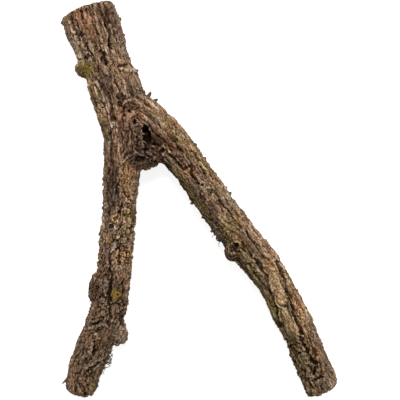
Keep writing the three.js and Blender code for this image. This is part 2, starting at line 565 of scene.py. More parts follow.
LEFT_MARKS: tuple[Mark, ...] = (
    Stroke(((-112, -96), (-116, -140), (-136, -190), (-150, -256)), 40, 0.0, UMBER, 0.95),
    Stroke(((-113, 46), (-114, 20), (-112, -8), (-116, -24)), 11.0, 0.0, UMBER, 1.0),
    Stroke(((-111, 44), (-111.5, 20), (-110, -12)), 9.0, 0.8, PLUM, 1.0),
    crack(((-106, 44), (-106, 10), (-102, -10)), 2.4, 2.4, 0.7),
    crack(((-118, 40), (-118, 8), (-116, -20)), 2.0, 2.0, 0.6),
    Stroke(((-92, 50), (-92, 20), (-90, -2)), 14, 0.4, OCHRE, 1.0),
    Stroke(((-92, 48), (-91, 20), (-89, -2)), 8, 0.4, TAN, 0.5),
    crack(((-100, -6), (-104, -16), (-110, -27)), 3.0, 3.8, 1.0),
    Spot((-108.5, -23), (8.5, 6.5), 15, 2.4, tone=TAN, strength=0.8),
    stain((-108.5, -23), (9.5, 7.5), 15, OCHRE),
    pit((-114, -33), (5.5, 3.6), -20, 3.6),
    crack(((-99, -28), (-104, -40), (-112, -52)), 2.6, 2.6),
    Stroke(((-96, -26), (-102, -38), (-108, -50)), 4.6, 2.0, TAN, 0.5),
    stain((-88, -17), (10, 10), 0, OLIVE),
    stain((-92, -37), (11, 8), 0, OLIVE, 0.7),
    Spot((-124, -44), (5.5, 6.5), 0, 2.8, tone=PAINTED_SHADE, strength=0.5),
    Spot((-118, -49), (6.5, 6.5), 0, 2.6, tone=TAN, strength=0.6),
    stain((-118, -49), (8, 8), 0, RUST),
    pit((-91, -50), (4.2, 3.6), 0, 3.6),
    pit((-103, -49), (3.0, 3.2), 0, 2.8, 0.8),
    Spot((-115, -63), (5.5, 5), 0, 1.6, tone=TAN, strength=0.8),
    Spot((-97, -70), (16, 13), 0, 0.8, tone=OCHRE, strength=1.0),
    stain((-96, -70), (12, 10), 0, TAN, 0.5),
    crack(((-102, -58), (-102, -82)), 1.8, 2.4),
    crack(((-94, -57), (-94, -84)), 1.8, 2.4),
    crack(((-108, -60), (-99, -57), (-88, -60)), 1.8, 2.4),
    crack(((-107, -72), (-97, -71), (-86, -73)), 1.6, 1.8, 0.6),
    Stroke(((-105, -86), (-102, -104)), 7.0, 0.8, TAN, 0.5),
    Stroke(((-121, -57), (-121, -80), (-119, -100)), 8.0, 0.0, PLUM, 1.0),
    crack(((-115.5, -57), (-114, -84), (-111, -106)), 2.6, 2.8),
    crack(((-124, -60), (-124, -88)), 1.8, 2.0, 0.7),
    crack(((-113, -97), (-115, -123), (-114, -145), (-117, -160)), 2.8, 3.8, 0.9),
    Spot((-107, -120), (8.5, 9.5), -5, 1.6, tone=MUSTARD),
    crack(((-97, -98), (-97, -127), (-101, -147)), 2.6, 2.8),
    stain((-131, -118), (12, 18), 0, PLUM),
    Stroke(((-138, -100), (-141, -114), (-139, -128)), 4.0, 0.0, PAINTED_SHADE, 0.9),
    Spot((-120, -130), (5.0, 4.4), 0, 2.6),
    Spot((-109, -140), (6.0, 6.5), 0, 3.0, tone=TAN, strength=0.4),
    crack(((-115, -134), (-108, -131), (-101, -136)), 2.0, 3.4, 0.9),
    Spot((-114, -152), (4.4, 4.4), 0, 2.6, tone=TAN, strength=0.3),
    Spot((-121, -159), (5.2, 4.6), 0, 2.6),
    pit((-100, -153), (4.5, 9.5), 15, 4.2),
    crack(((-141, -160), (-132, -156), (-125, -152)), 2.4, 3.6, 1.0),
    Stroke(((-141, -164), (-132, -161), (-124, -157)), 3.4, 2.6, TAN, 0.5),
    Spot((-129, -173), (4.2, 4.2), 0, 3.0, tone=TAN, strength=0.4),
    crack(((-135, -180), (-136, -199)), 2.6, 3.8, 0.9),
    pit((-146.6, -205), (4.2, 5.2), 20, 3.8, 0.9),
    Stroke(((-143, -212), (-132, -205), (-122, -198)), 3.0, 2.6, TAN, 0.3),
    Stroke(((-147, -222), (-135, -214), (-124, -208)), 2.8, 2.4, TAN, 0.3),
    crack(((-142, -217), (-130, -209)), 2.0, 3.0),
    pit((-146, -222), (6, 7), 0, 2.0, 0.6),
    Stroke(((-156, -236), (-155, -249)), 2.6, 2.0, TAN, 0.7),
    crack(((-161, -238), (-160, -250)), 2.4, 3.0, 0.9),
    crack(((-149, -238), (-148, -251)), 2.4, 3.0, 0.9),
    Spot((-138, -240), (7, 7), 0, 1.2, tone=OLIVE, strength=0.7),
    stain((-97, -165), (9, 12), 30, TAN, 0.3),
    stain((-105, -180), (13, 4.5), -25, PAINTED_SHADE, 0.6),
)

RIGHT_MARKS: tuple[Mark, ...] = (
    # partly the bark's darker colour, partly painted shade: the first and the third strokes darken the
    # right limb's lower-left side, which faces away from the sun
    Stroke(((-52, 50), (-20, 22), (20, -42), (56, -88)), 17, 0.0, UMBER, 0.9),
    Stroke(((-42, 44), (-14, 10), (10, -24)), 11, 0.0, OLIVE, 0.9),
    Stroke(((50, -80), (80, -122), (104, -170), (128, -215)), 15, 0.0, UMBER, 0.8),
    Stroke(((30, -30), (66, -76), (96, -130), (128, -196), (146, -240)), 30, 0.0, OLIVE, 0.4),
    Stroke(((118, -178), (140, -216), (160, -262)), 34, 0.0, UMBER, 0.8),
    Stroke(((-58, 112), (-30, 88), (-4, 58), (12, 34)), 12, 0.6, OLIVE, 0.38),
    # partly the bark's paler colour, partly painted light: this stroke and the next lighten the right
    # limb's upper-right side, which faces the sun
    Stroke(((-58, 118), (-28, 92), (0, 58), (16, 34), (34, 4)), 11, 0.6, TAN, 0.65),
    Stroke(((40, -2), (66, -36), (92, -70), (112, -104), (136, -150)), 8, 0.6, TAN, 0.9),
    Stroke(((26, -14), (40, -34), (58, -58)), 7, 0.0, OCHRE, 0.7),
    Stroke(((-48, 84), (-26, 68), (-14, 50), (-2, 32)), 11, 0.0, RUST, 0.7),
    Stroke(((-44, 82), (-26, 64), (-16, 48)), 9, 0.0, UMBER, 0.9),
    Stroke(((-30, 81), (-12, 61), (-2, 43)), 2.2, 2.0, TAN, 0.8),
    crack(((-33, 77), (-16, 58), (-5, 40)), 1.8, 2.6, 0.9),
    crack(((-26, 82), (-8, 62), (3, 43)), 1.8, 2.4),
    crack(((-40, 62), (-28, 48), (-20, 40), (-12, 45)), 2.8, 3.4, 1.0),
    Spot((-16, 34), (7.5, 6.0), -52, 1.8, tone=OCHRE, strength=1.0),
    stain((-16, 34), (6.0, 4.6), -52, TAN, 0.6),
    crack(((-11, 47), (-9, 30), (-2, 23)), 2.8, 3.6, 1.0),
    Stroke(((-24, 24), (-13, 8), (-1, -6)), 7.0, 0.0, OLIVE, 1.0),
    Stroke(((-1, 28), (10, 10), (18, -2)), 10, 0.6, TAN, 0.5),
    pit((3, 21), (3.6, 2.6), -50, 3.2, 0.9),
    pit((14, 13), (3.6, 2.4), -50, 3.0, 0.8),
    pit((2, 6), (4, 7), 30, 3.0, 0.8),
    stain((16, -8), (8, 7), 40, PLUM),
    crack(((24, 6), (34, -8), (44, -22)), 2.0, 2.6),
    crack(((18, 16), (30, 0)), 2.0, 2.6, 0.7),
    Spot((48, -24), (6, 8), 30, 1.2, tone=MUSTARD, strength=0.6),
    Spot((34, -40), (7, 9), 35, 1.2, tone=OCHRE, strength=0.7),
    Spot((44.5, -59.5), (8.5, 5.5), 45, -4.2, 1.6, PAINTED_SHADE),
    crack(((54, -50), (66, -70), (80, -90)), 2.2, 2.8),
    Stroke(((52, -40), (70, -66), (84, -82)), 9, 0.8, PLUM, 0.9),
    crack(((58, -38), (74, -60), (88, -76)), 2.0, 2.6),
    Stroke(((82, -74), (96, -104), (105, -128)), 9.0, 2.8, TAN, 0.4),
    Stroke(((82, -74), (96, -104), (105, -128)), 9.0, 0.0, RUST, 0.7),
    Stroke(((90, -84), (102, -104), (110, -126)), 3.6, 1.2, TAN, 0.7),
    Stroke(((102, -142), (114, -159), (127, -179)), 9.0, 2.4, TAN, 0.35),
    Stroke(((102, -142), (114, -159), (127, -179)), 8.0, 0.0, RUST, 0.4),
    Stroke(((109, -142), (120, -158), (131, -172)), 3.6, 1.2, TAN, 0.7),
    crack(((97, -76), (107, -95), (116, -121), (123, -147), (131, -170)), 3.4, 4.4, 1.0),
    crack(((70, -72), (84, -94), (92, -123), (97, -138), (103, -163)), 3.2, 4.0, 1.0),
    pit((109, -134), (6, 3.2), -25, 4.0),
    Stroke(((103, -82), (121, -123), (134, -157)), 7, 0.4, OCHRE, 0.65),
    Stroke(((58, -80), (80, -110), (94, -140), (106, -168)), 6.0, 0.4, OLIVE, 1.0),
    Stroke(((132, -164), (143, -183), (151, -202)), 9.0, 2.4, RUST, 0.8),
    crack(((137, -168), (149, -194)), 1.6, 2.4),
    crack(((142, -168), (153, -192)), 1.6, 2.4),
    crack(((127, -172), (137, -191), (144, -207), (152, -207)), 3.0, 4.2, 1.0),
    Stroke(((112, -168), (122, -190), (130, -208)), 7, 0.4, OLIVE, 0.8),
    pit((126.9, -195.7), (4.6, 3.4), 30, 3.4, 0.9),
    crack(((116, -184), (124, -202), (132, -214)), 2.4, 3.0),
    Spot((153.9, -216), (5.6, 5.6), 0, 2.6, tone=RUST, strength=0.6),
    Spot((140.9, -224), (5.6, 5.0), 0, 2.4, tone=OCHRE, strength=0.4),
    Spot((150.9, -233), (6.2, 6.0), 0, 2.6, tone=RUST, strength=0.6),
    crack(((130.9, -213.7), (139.9, -237.7)), 2.6, 3.4, 0.9),
    crack(((148, -214), (146, -230), (158, -226)), 2.2, 3.2, 0.9),
)

BLOCKY_ZONES: tuple[Mark, ...] = (
    Stroke(((-98, 16), (-104, -30), (-108, -90), (-114, -140), (-130, -180), (-150, -256)), 60),
    Spot((-74, 68), (32, 36)),
    Spot((-108, 222), (18, 40), 20, strength=0.8),
    Stroke(((-6, 26), (20, -16), (44, -54)), 26, strength=0.8),
    Stroke(((120, -186), (150, -250)), 44),
)


# ----------------------------------------
# Bark
# ----------------------------------------


@dataclass(frozen=True)
class Relief:
    """What the bark pattern gives at each point: heights in millimetres, and each plate's own value."""

    lumps: Array
    plates: Array
    fine: Array
    plate_value: Array

    @staticmethod
    def level(count: int) -> "Relief":
        """No relief yet, for a number of points."""
        return Relief(*(np.zeros(count) for _ in range(4)))

    def add(self, part: "Relief", where: Array, share: Array) -> None:
        """Adds a share of another relief at some of the points.

        Args:
            part: The other relief, at those points only.
            where: Which of the points they are.
            share: How much of it each of them gets.
        """
        self.lumps[where] += part.lumps * share
        self.plates[where] += part.plates * share
        self.fine[where] += part.fine * share
        self.plate_value[where] += part.plate_value * share


@dataclass(frozen=True)
class BarkPattern:
    """Corky plates that run with the grain, broken into tilted scales by cracks, pits and fibres.

    Widths, heights and depths are in millimetres. A stretch is a length along the grain over a width.
    """

    seed: int = 11
    lump_size: tuple[float, ...] = (24.0, 24.0, 34.0)
    lump_height: float = 1.6
    wander: float = 5.0
    wander_size: tuple[float, ...] = (22.0, 22.0, 42.0)
    flutter: float = 1.6
    flutter_size: tuple[float, ...] = (7.0, 7.0, 11.0)
    plate_width: float = 8.5
    plate_stretch: float = 4.6
    plate_step: float = 1.6
    furrow_share: float = 0.34
    furrow_depth: float = 2.8
    scale_width: float = 5.2
    scale_stretch: float = 3.6
    scale_step: float = 1.1
    scale_tilt: float = 1.2
    crack_share: float = 0.18
    crack_depth: float = 1.5
    pit_size: float = 5.6
    pit_stretch: float = 1.4
    pit_depth: float = 2.0
    fibre_width: float = 2.2
    fibre_stretch: float = 8.0
    fibre_height: float = 0.8
    crumb_size: float = 2.6
    crumb_height: float = 0.9
    nub_size: float = 7.0
    nub_stretch: float = 1.3
    nub_height: float = 1.5
    strength_size: tuple[float, ...] = (28.0, 28.0, 50.0)
    broken_size: tuple[float, ...] = (13.0, 13.0, 20.0)
    crumbly_size: tuple[float, ...] = (19.0, 19.0, 26.0)
    erosion_size: tuple[float, ...] = (10.0, 10.0, 17.0)
    erosion_depth: float = 1.8

    def relief(self, across: Array) -> Relief:
        """Works out the bark. Each noise is read at a place of its own, so that no two are alike.

        Args:
            across: Where each point lies across, above and along the grain, in millimetres.

        Returns:
            The relief at each point.
        """
        noise = Noise(self.seed)
        lumps = self.lump_height * noise.layers(across / self.lump_size, 2)
        bent = across + self.wander * noise.drift(across / self.wander_size + 5.0)
        bent = bent + self.flutter * noise.drift(across / self.flutter_size + 9.0)
        strength = noise.layers(across / self.strength_size + 3.0, 2)

        plate = noise.cells(bent / self._long(self.plate_width, self.plate_stretch))
        furrow = smoothstep(self.furrow_share, 0.0, plate.edge)
        depth = self.furrow_depth * np.clip(0.6 + 0.9 * strength, 0.1, 1.4)
        plates = self.plate_step * (plate.value - 0.5) - depth * furrow - 0.7 * plate.middle**2

        scale = noise.cells(bent / self._long(self.scale_width, self.scale_stretch) + 40.0)
        broken = noise.layers(across / self.broken_size + 60.0, 2)
        crack = smoothstep(self.crack_share, 0.0, scale.edge)
        rough = np.clip(0.75 + 0.8 * broken, 0.2, 1.3)
        fine = self.scale_step * (scale.value - 0.5) + self.scale_tilt * scale.tilt
        fine = (fine - self.crack_depth * crack) * rough

        pit = noise.cells(bent / self._long(self.pit_size, self.pit_stretch) + 80.0)
        holed = smoothstep(0.34, 0.12, pit.middle) * smoothstep(0.62, 0.78, pit.value)
        fine = fine - self.pit_depth * holed

        nub = noise.cells(bent / self._long(self.nub_size, self.nub_stretch) + 120.0)
        fine = fine + self.nub_height * smoothstep(0.32, 0.12, nub.middle) * smoothstep(
            0.6, 0.7, nub.value
        )

        strands = noise.swell(bent / self._long(self.fibre_width, self.fibre_stretch) + 13.0)
        fine = fine + self.fibre_height * (1.0 - 2.2 * np.abs(strands))
        crumbly = smoothstep(-0.25, 0.35, noise.layers(across / self.crumbly_size + 33.0, 2))
        fine = fine * (0.55 + 0.6 * crumbly)
        fine = fine + self.crumb_height * crumbly * noise.layers(across / self.crumb_size, 2, 0.7)

        worn = noise.layers(across / self.erosion_size + 21.0, 2)
        plates = plates - self.erosion_depth * smoothstep(0.28, 0.55, worn)
        return Relief(lumps, plates, fine, plate.value)

    @staticmethod
    def _long(width: float, stretch: float) -> Array:
        """The size of a cell that is drawn out along the grain."""
        return np.array((width, width, width * stretch))


def blocky_pattern() -> BarkPattern:
    """Bark that is broken across as well as along, in small knobbly blocks.

    Returns:
        The pattern.
    """
    return BarkPattern(
        plate_stretch=2.2,
        furrow_depth=2.4,
        scale_width=5.0,
        scale_stretch=1.5,
        scale_step=1.7,
        scale_tilt=1.7,
        crack_share=0.24,
        crack_depth=1.9,
        fibre_stretch=3.0,
        fibre_height=0.5,
        crumb_height=1.1,
    )


@dataclass(frozen=True)
class Parting:
    """A plane where a limb is parted from the fork: a point on it and the way that the limb runs."""

    node: str
    at: tuple[float, float, float]
    along: tuple[float, float, float]
    on_left: bool = False

    @property
    def start(self) -> Vector:
        """The point on the plane, in metres."""
        return Vector(self.at) * MM

    @property
    def way(self) -> Vector:
        """The way that the limb runs, of length one."""
        return Vector(self.along).normalized()

    def parts(self, place: Vector) -> bool:
        """Whether a place, in metres, is on the side of the branch that this plane parts."""
        return (place.x < DIVIDE_X * MM) == self.on_left


DIVIDE_X = -59.0  # everything left of this can only be parted by the left plane
LEFT_PARTING = Parting("left_limb", (-99.08, 30.23, 36.0), (-0.08, -1.0, -0.1), True)
RIGHT_PARTING = Parting("right_limb", (-28.58, 60.23, 38.0), (0.6, -0.8, -0.02))
PARTINGS = (LEFT_PARTING, RIGHT_PARTING)
PARTING_REACH = 3.0  # only faces that are this near to a plane are cut


def read_points(mesh: bpy.types.Mesh) -> Array:
    """Reads the vertices of a mesh.

    Args:
        mesh: The mesh.

    Returns:
        Rows of x, y, z in millimetres.
    """
    flat = np.empty(len(mesh.vertices) * 3, np.float32)
    mesh.vertices.foreach_get("co", flat)
    return flat.reshape(-1, 3).astype(float) / MM


def write_points(mesh: bpy.types.Mesh, points: Array) -> None:
    """Moves the vertices of a mesh to places in millimetres."""
    mesh.vertices.foreach_set("co", (points * MM).astype(np.float32).ravel())
    mesh.update()


def read_normals(mesh: bpy.types.Mesh) -> Array:
    """Reads the vertex normals of a mesh.

    Args:
        mesh: The mesh.

    Returns:
        Rows of length one.
    """
    flat = np.empty(len(mesh.vertices) * 3, np.float32)
    mesh.vertex_normals.foreach_get("vector", flat)
    return flat.reshape(-1, 3).astype(float)


class Neighbours:
    """The links between a mesh's vertices, to average over them."""

    def __init__(self, mesh: bpy.types.Mesh) -> None:
        """Reads the edges.

        Args:
            mesh: The mesh whose vertices are linked.
        """
        ends = np.empty(len(mesh.edges) * 2, np.int32)
        mesh.edges.foreach_get("vertices", ends)
        self._from = np.concatenate([ends[::2], ends[1::2]])
        self._to = np.concatenate([ends[1::2], ends[::2]])
        self._count = np.maximum(np.bincount(self._from, minlength=len(mesh.vertices)), 1)

    def average(self, values: Array, rounds: int) -> Array:
        """Spreads values over their neighbours.

        Args:
            values: One value, or a row of them, for each vertex.
            rounds: How many times each vertex is mixed with its neighbours.

        Returns:
            The smoothed values.
        """
        columns = values.reshape(len(values), -1).T.copy()
        for _ in range(rounds):
            for column in columns:
                total = np.bincount(self._from, weights=column[self._to], minlength=len(column))
                column[:] = 0.5 * column + 0.5 * total / self._count
        return columns.T.reshape(values.shape)

    def proudness(self, points: Array, normals: Array, rounds: int) -> Array:
        """How far each vertex stands out of the surface round it; in a dip it is negative."""
        return np.einsum("ij,ij->i", points - self.average(points, rounds), normals)


def write_attribute(mesh: bpy.types.Mesh, name: str, values: Array) -> None:
    """Stores one number, or three, for each vertex.

    Args:
        mesh: The mesh.
        name: What the finish reads it by.
        values: One value, or a row of three, for each vertex.
    """
    kind, key = ("FLOAT", "value") if values.ndim == 1 else ("FLOAT_VECTOR", "vector")
    attribute = mesh.attributes.new(name, kind, "POINT")
    attribute.data.foreach_set(key, values.astype(np.float32).ravel())


def linked(name: str, data: bpy.types.ID) -> bpy.types.Object:
    """Adds an object to the scene.

    Args:
        name: The object's name.
        data: The mesh, lamp or camera that it shows.

    Returns:
        The new object.
    """
    thing = bpy.data.objects.new(name, data)
    bpy.context.scene.collection.objects.link(thing)
    return thing


@dataclass
class SawnEnd:
    """The sawn end of the main stem: growth rings, drying checks and the marks of the saw."""

    path: GrainPath
    ring_pitch: float = 2.6
    ring_height: float = 0.28
    wobble: float = 1.6
    wobble_size: float = 14.0
    saw_height: float = 0.14
    saw_way: Pair = (0.8, 0.6)
    saw_turns: float = 2.1
    fuzz_height: float = 0.25
    fuzz_size: float = 3.0
    pith: Pair = (-4.0, 3.0)
    checks: tuple[float, ...] = (0.5, 1.9, 3.1, 4.0, 5.4)
    check_depth: float = 2.6
    check_width: float = 0.9
    depth: float = 7.0

    def facing(self, normals: Array, grain: Unrolled) -> Array:
        """How much each point belongs to the sawn face.

        Args:
            normals: The way that the bark faces at each point.
            grain: The points along the stem's path.

        Returns:
            A share from 0 to 1 for each point.
        """
        outward = -(normals @ self.path.forward[0])
        near = smoothstep(self.depth, self.depth * 0.4, grain.across[:, 2])
        return smoothstep(0.45, 0.8, outward) * near

    def relief(self, grain: Unrolled) -> Array:
        """Works out the sawn face.

        Args:
            grain: The points along the stem's path.

        Returns:
            Its height at each point, in millimetres.
        """
        noise = Noise(5)
        x = grain.across[:, 0] - self.pith[0]
        y = grain.across[:, 1] - self.pith[1]
        wobble = noise.layers(grain.across / self.wobble_size, 2)
        radius = np.hypot(x, y) + self.wobble * wobble
        rings = self.ring_height * np.sin(radius * 2 * math.pi / self.ring_pitch)
        across_saw = x * self.saw_way[0] + y * self.saw_way[1]
        saw = self.saw_height * np.sin(across_saw * self.saw_turns + wobble)
        angle = np.arctan2(y, x) + 0.25 * noise.swell(grain.across / 11.0 + 3.0)
        height = rings + saw + self.fuzz_height * noise.layers(grain.across / self.fuzz_size, 2)
        for check in self.checks:
            turn = np.abs((angle - check + math.pi) % (2 * math.pi) - math.pi)
            gap = smoothstep(self.check_width, 0.0, turn * radius) * smoothstep(3.0, 9.0, radius)
            height = height - self.check_depth * gap * (0.5 + 0.5 * math.sin(3 * check))
        return height


@dataclass(frozen=True)
class Wrinkles:
    """Bark that is folded in rings below and beside the knot hole; the fan of turns is in degrees."""

    middle: Pair = (-67.1, 80.3)
    fan: tuple[float, ...] = (140, 165, 260, 285)
    band: tuple[float, ...] = (9, 12, 22, 30)
    pitch: float = 4.2
    depth: float = 0.9

    def height(self, places: Array) -> Array:
        """Works out the folds.

        Args:
            places: Rows of x and y in millimetres.

        Returns:
            The height of each row, in millimetres.
        """
        x, y = (places - np.array(self.middle)).T
        radius = np.hypot(x, y)
        turn = np.degrees(np.arctan2(y, x)) % 360
        fan = self._within(self.fan, turn)
        band = self._within(self.band, radius)
        return self.depth * np.sin(radius * 2 * math.pi / self.pitch) * fan * band

    @staticmethod
    def _within(span: tuple[float, ...], value: Array) -> Array:
        """1 inside a span of four ends, fading to 0 from its inner ends to its outer ones."""
        return smoothstep(span[0], span[1], value) * smoothstep(span[3], span[2], value)


@dataclass(frozen=True)
class Survey:
    """What is known of each point of the skin before it is carved.

    It is the point along both limbs' paths, the right path's share of it, and how much it belongs to the
    blocky bark, to the sawn end and to the bark that is clear of the ground.
    """

    left: Unrolled
    right: Unrolled
    share: Array
    blocky: Array
    sawn: Array
    clear: Array

    def across(self) -> Array:
        """Where each point lies across, above and along the grain of its own limb, in millimetres."""
        share = self.share[:, None]
        return self.left.across * (1 - share) + self.right.across * share


@dataclass
class BarkSkin:
    """The whole outside of the branch, carved before it is parted into its three pieces.

    The bark is carved less where it lies on the ground: least_coarse and least_fine are what is left.
    """

    grain: Grain
    ridges: BarkPattern = field(default_factory=BarkPattern)
    blocks: BarkPattern = field(default_factory=blocky_pattern)
    voxel: float = 0.9
    overlap: float = 1.2
    smooth_rounds: int = 14
    blocky_drift: float = 7.0
    blocky_drift_size: float = 16.0
    ground: Pair = (0.4, 5.0)
    least_coarse: float = 0.25
    least_fine: float = 0.4
    bark_rim: Pair = (0.72, 0.98)
    jitter: float = 0.4
    jitter_size: float = 3.4
    edge_rounds: int = 4
    ridge_rounds: int = 40
    # painted shade: bark whose smoothed normal faces this way, down and towards -X and -Y, away from the
    # sun, is darkened in its colour
    shaded_facing: tuple[float, float, float] = (-0.40, -0.42, -0.55)
    damp: Pair = (-0.2, 0.55)
    rind_edge: Pair = (0.83, 0.87)
    rind_drift: float = 0.03
    rind_drift_size: float = 6.0

    def __post_init__(self) -> None:
        """Lays out the sawn end."""
        self.sawn_end = SawnEnd(self.grain.left)

    def fused(self) -> bpy.types.Mesh:
        """Fuses copies of the CAD solids into one fine mesh.

        Returns:
            A closed mesh of even small quads.
        """
        shape = bmesh.new()
        for name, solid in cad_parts.items():
            copy = bmesh.new()
            copy.from_mesh(solid.data)
            bmesh.ops.remove_doubles(copy, verts=copy.verts, dist=1e-6)
            for parting in PARTINGS:
                if parting.node == name:
                    self._overlap(copy, parting)
            mesh = bpy.data.meshes.new(name + "_copy")
            copy.to_mesh(mesh)
            copy.free()
            shape.from_mesh(mesh)
            bpy.data.meshes.remove(mesh)
        mesh = bpy.data.meshes.new("bark_skin")
        shape.to_mesh(mesh)
        shape.free()
        return self._remeshed(mesh)

    def _overlap(self, copy: bmesh.types.BMesh, parting: Parting) -> None:
        """Runs a limb on into the fork, so that the parting gap closes.

        Args:
            copy: A copy of the limb's solid.
            parting: Where the limb was parted.
        """
        way = parting.way
        start = parting.start
        rim = [v for v in copy.verts if abs((v.co - start).dot(way)) < 0.25 * MM]
        bmesh.ops.translate(copy, verts=rim, vec=-way * self.overlap * MM)

    def _remeshed(self, mesh: bpy.types.Mesh) -> bpy.types.Mesh:
        """Makes one skin of even quads and softens its creases.

        Args:
            mesh: The overlapping solids; it is used up.

        Returns:
            The skin.
        """
        holder = linked("bark_skin_source", mesh)
        remesh = holder.modifiers.new("even", "REMESH")
        remesh.mode = "VOXEL"
        remesh.voxel_size = self.voxel * MM
        soften = holder.modifiers.new("soften", "SMOOTH")
        soften.factor = 0.5
        soften.iterations = self.smooth_rounds
        evaluated = holder.evaluated_get(bpy.context.evaluated_depsgraph_get())
        result = bpy.data.meshes.new_from_object(evaluated)
        bpy.data.objects.remove(holder)
        bpy.data.meshes.remove(mesh)
        return result

    def carved(self) -> bpy.types.Mesh:
        """Carves the bark.

        Returns:
            The finished skin, with what its finish reads stored on its vertices.
        """
        mesh = self.fused()
        log.info("bark skin: %d vertices", len(mesh.vertices))
        points = read_points(mesh)
        normals = read_normals(mesh)
        survey = self._survey(points, normals)
        relief = self._relief(survey)
        heights, tones = self._marks(points, normals)
        points = self._raised(points, normals, survey, relief.lumps + relief.plates + heights)
        write_points(mesh, points)
        points = self._roughened(points, read_normals(mesh), survey, relief.fine)
        write_points(mesh, points)
        self._store_shape(mesh, points, survey)
        write_attribute(mesh, "plate", relief.plate_value)
        for tone, amount in tones.items():
            write_attribute(mesh, tone.attribute, amount)
        return mesh

    def _survey(self, points: Array, normals: Array) -> Survey:
        """Finds out what bark each point belongs to.

        Args:
            points: Rows of x, y, z in millimetres.
            normals: The way that the skin faces at each.

        Returns:
            What is known of them.
        """
        left, right, share = self.grain.follow(points)
        sawn = self.sawn_end.facing(normals, left)
        clear = smoothstep(*self.ground, points[:, 2])
        return Survey(left, right, share, self._blocky(points), sawn, clear)

    def _raised(self, points: Array, normals: Array, survey: Survey, coarse: Array) -> Array:
        """Raises the plates, the furrows and the marks.

        Args:
            points: Rows of x, y, z in millimetres.
            normals: The way that the skin faces at each.
            survey: What is known of them.
            coarse: How far each is raised, in millimetres.

        Returns:
            The raised points.
        """
        rim = np.where(survey.sawn > 0, smoothstep(*self.bark_rim, survey.left.share), 1.0)
        amount = coarse * rim * (self.least_coarse + (1 - self.least_coarse) * survey.clear)
        return points + self._outward(normals, survey.left) * amount[:, None]

    def _roughened(self, points: Array, normals: Array, survey: Survey, fine: Array) -> Array:
        """Adds the scales, cracks and fibres, and the rings on the sawn end.

        Args:
            points: The raised points.
            normals: The way that the raised skin faces at each.
            survey: What is known of them.
            fine: How far each stands out, in millimetres.

        Returns:
            The finished points, none of them below the ground.
        """
        bark = 1 - survey.sawn
        amount = fine * bark * (self.least_fine + (1 - self.least_fine) * survey.clear)
        points = points + normals * amount[:, None]
        shift = self.jitter * Noise(31).drift(points / self.jitter_size)
        points = points + shift * (bark * survey.clear)[:, None]
        face = self.sawn_end.relief(survey.left) * survey.sawn
        points = points - np.outer(face, self.grain.left.forward[0])
        points[:, 2] = np.maximum(points[:, 2], 0.0)
        return points

    def _store_shape(self, mesh: bpy.types.Mesh, points: Array, survey: Survey) -> None:
        """Stores what the finish reads of the bark's shape.

        Args:
            mesh: The carved skin.
            points: Its vertices, in millimetres.
            survey: What is known of them.
        """
        normals = read_normals(mesh)
        links = Neighbours(mesh)
        facing = unit(links.average(normals, self.ridge_rounds)) @ np.array(self.shaded_facing)
        ragged = self.rind_drift * Noise(71).layers(points / self.rind_drift_size, 2)
        # painted shade: a mask of the sides that face away from the sun, which the finish darkens
        write_attribute(mesh, "damp", smoothstep(*self.damp, facing))
        # edge and ridge drive painted shade in the hollows and painted highlight on the tops in the
        # finish, besides the wear on the tops
        write_attribute(mesh, "edge", links.proudness(points, normals, self.edge_rounds))
        write_attribute(mesh, "ridge", links.proudness(points, normals, self.ridge_rounds))
        write_attribute(mesh, "grain", survey.across() * MM)
        write_attribute(mesh, "sawn", survey.sawn)
        write_attribute(mesh, "rind", smoothstep(*self.rind_edge, survey.left.share + ragged))
        write_attribute(mesh, "blocky", survey.blocky)

    def _blocky(self, points: Array) -> Array:
        """How far the bark is broken into blocks.

        Args:
            points: Rows of x, y, z in millimetres.

        Returns:
            A share from 0 to 1 for each row.
        """
        drift = Noise(57).drift(points / self.blocky_drift_size)
        places = (points + self.blocky_drift * drift)[:, :2] * PLAN_SCALE
        shares = [zone.strength * zone.share(places) for zone in BLOCKY_ZONES]
        return np.max(shares, axis=0)

    def _relief(self, survey: Survey) -> Relief:
        """The bark along both limbs' paths, in ridges or in blocks.

        Args:
            survey: What is known of the points.

        Returns:
            The relief at each point.
        """
        relief = Relief.level(len(survey.share))
        for grain, near in ((survey.left, 1.0 - survey.share), (survey.right, survey.share)):
            for pattern, amount in ((self.ridges, 1.0 - survey.blocky), (self.blocks, survey.blocky)):
                total = near * amount
                where = total > 0.001
                relief.add(pattern.relief(grain.across[where]), where, total[where])
        return relief

    def _outward(self, normals: Array, grain: Unrolled) -> Array:
        """The way that bark rises: along the normal, but straight out from the core at the sawn end.

        Args:
            normals: The way that the skin faces at each point.
            grain: The points along the stem's path.

        Returns:
            Rows of length one.
        """
        path = self.grain.left
        radial = grain.across[:, :1] * path.side[0] + grain.across[:, 1:2] * path.rise[0]
        near = smoothstep(8.0, 2.5, grain.across[:, 2])[:, None]
        return unit(normals * (1 - near) + unit(radial) * near)

    def _marks(self, points: Array, normals: Array) -> tuple[Array, dict[Tone, Array]]:
        """Adds up the marks.

        Args:
            points: Rows of x, y, z in millimetres.
            normals: The way that the skin faces at each.

        Returns:
            The height that the marks add, and how much of each tone there is.
        """
        noise = Noise(23)
        places = points + 2.2 * noise.drift(points / 9.0) + 0.9 * noise.drift(points / 3.6)
        places = places[:, :2] * PLAN_SCALE
        upper = smoothstep(-0.35, 0.15, normals[:, 2])
        ragged = 0.8 + 0.35 * noise.layers(points / 5.0, 2)
        heights = np.zeros(len(points))
        tones = {tone: np.zeros(len(points)) for tone in Tone}
        for mark in STEM_MARKS + FORK_MARKS + LEFT_MARKS + RIGHT_MARKS:
            amount = mark.share(places) * upper
            heights += mark.height * amount * ragged
            if isinstance(mark, Spot) and mark.rim:
                heights += mark.rim * mark.lip(places) * upper
            if mark.tone is not None:
                tones[mark.tone] = np.maximum(tones[mark.tone], mark.strength * amount)
        heights += Wrinkles().height(places) * upper
        return heights, tones



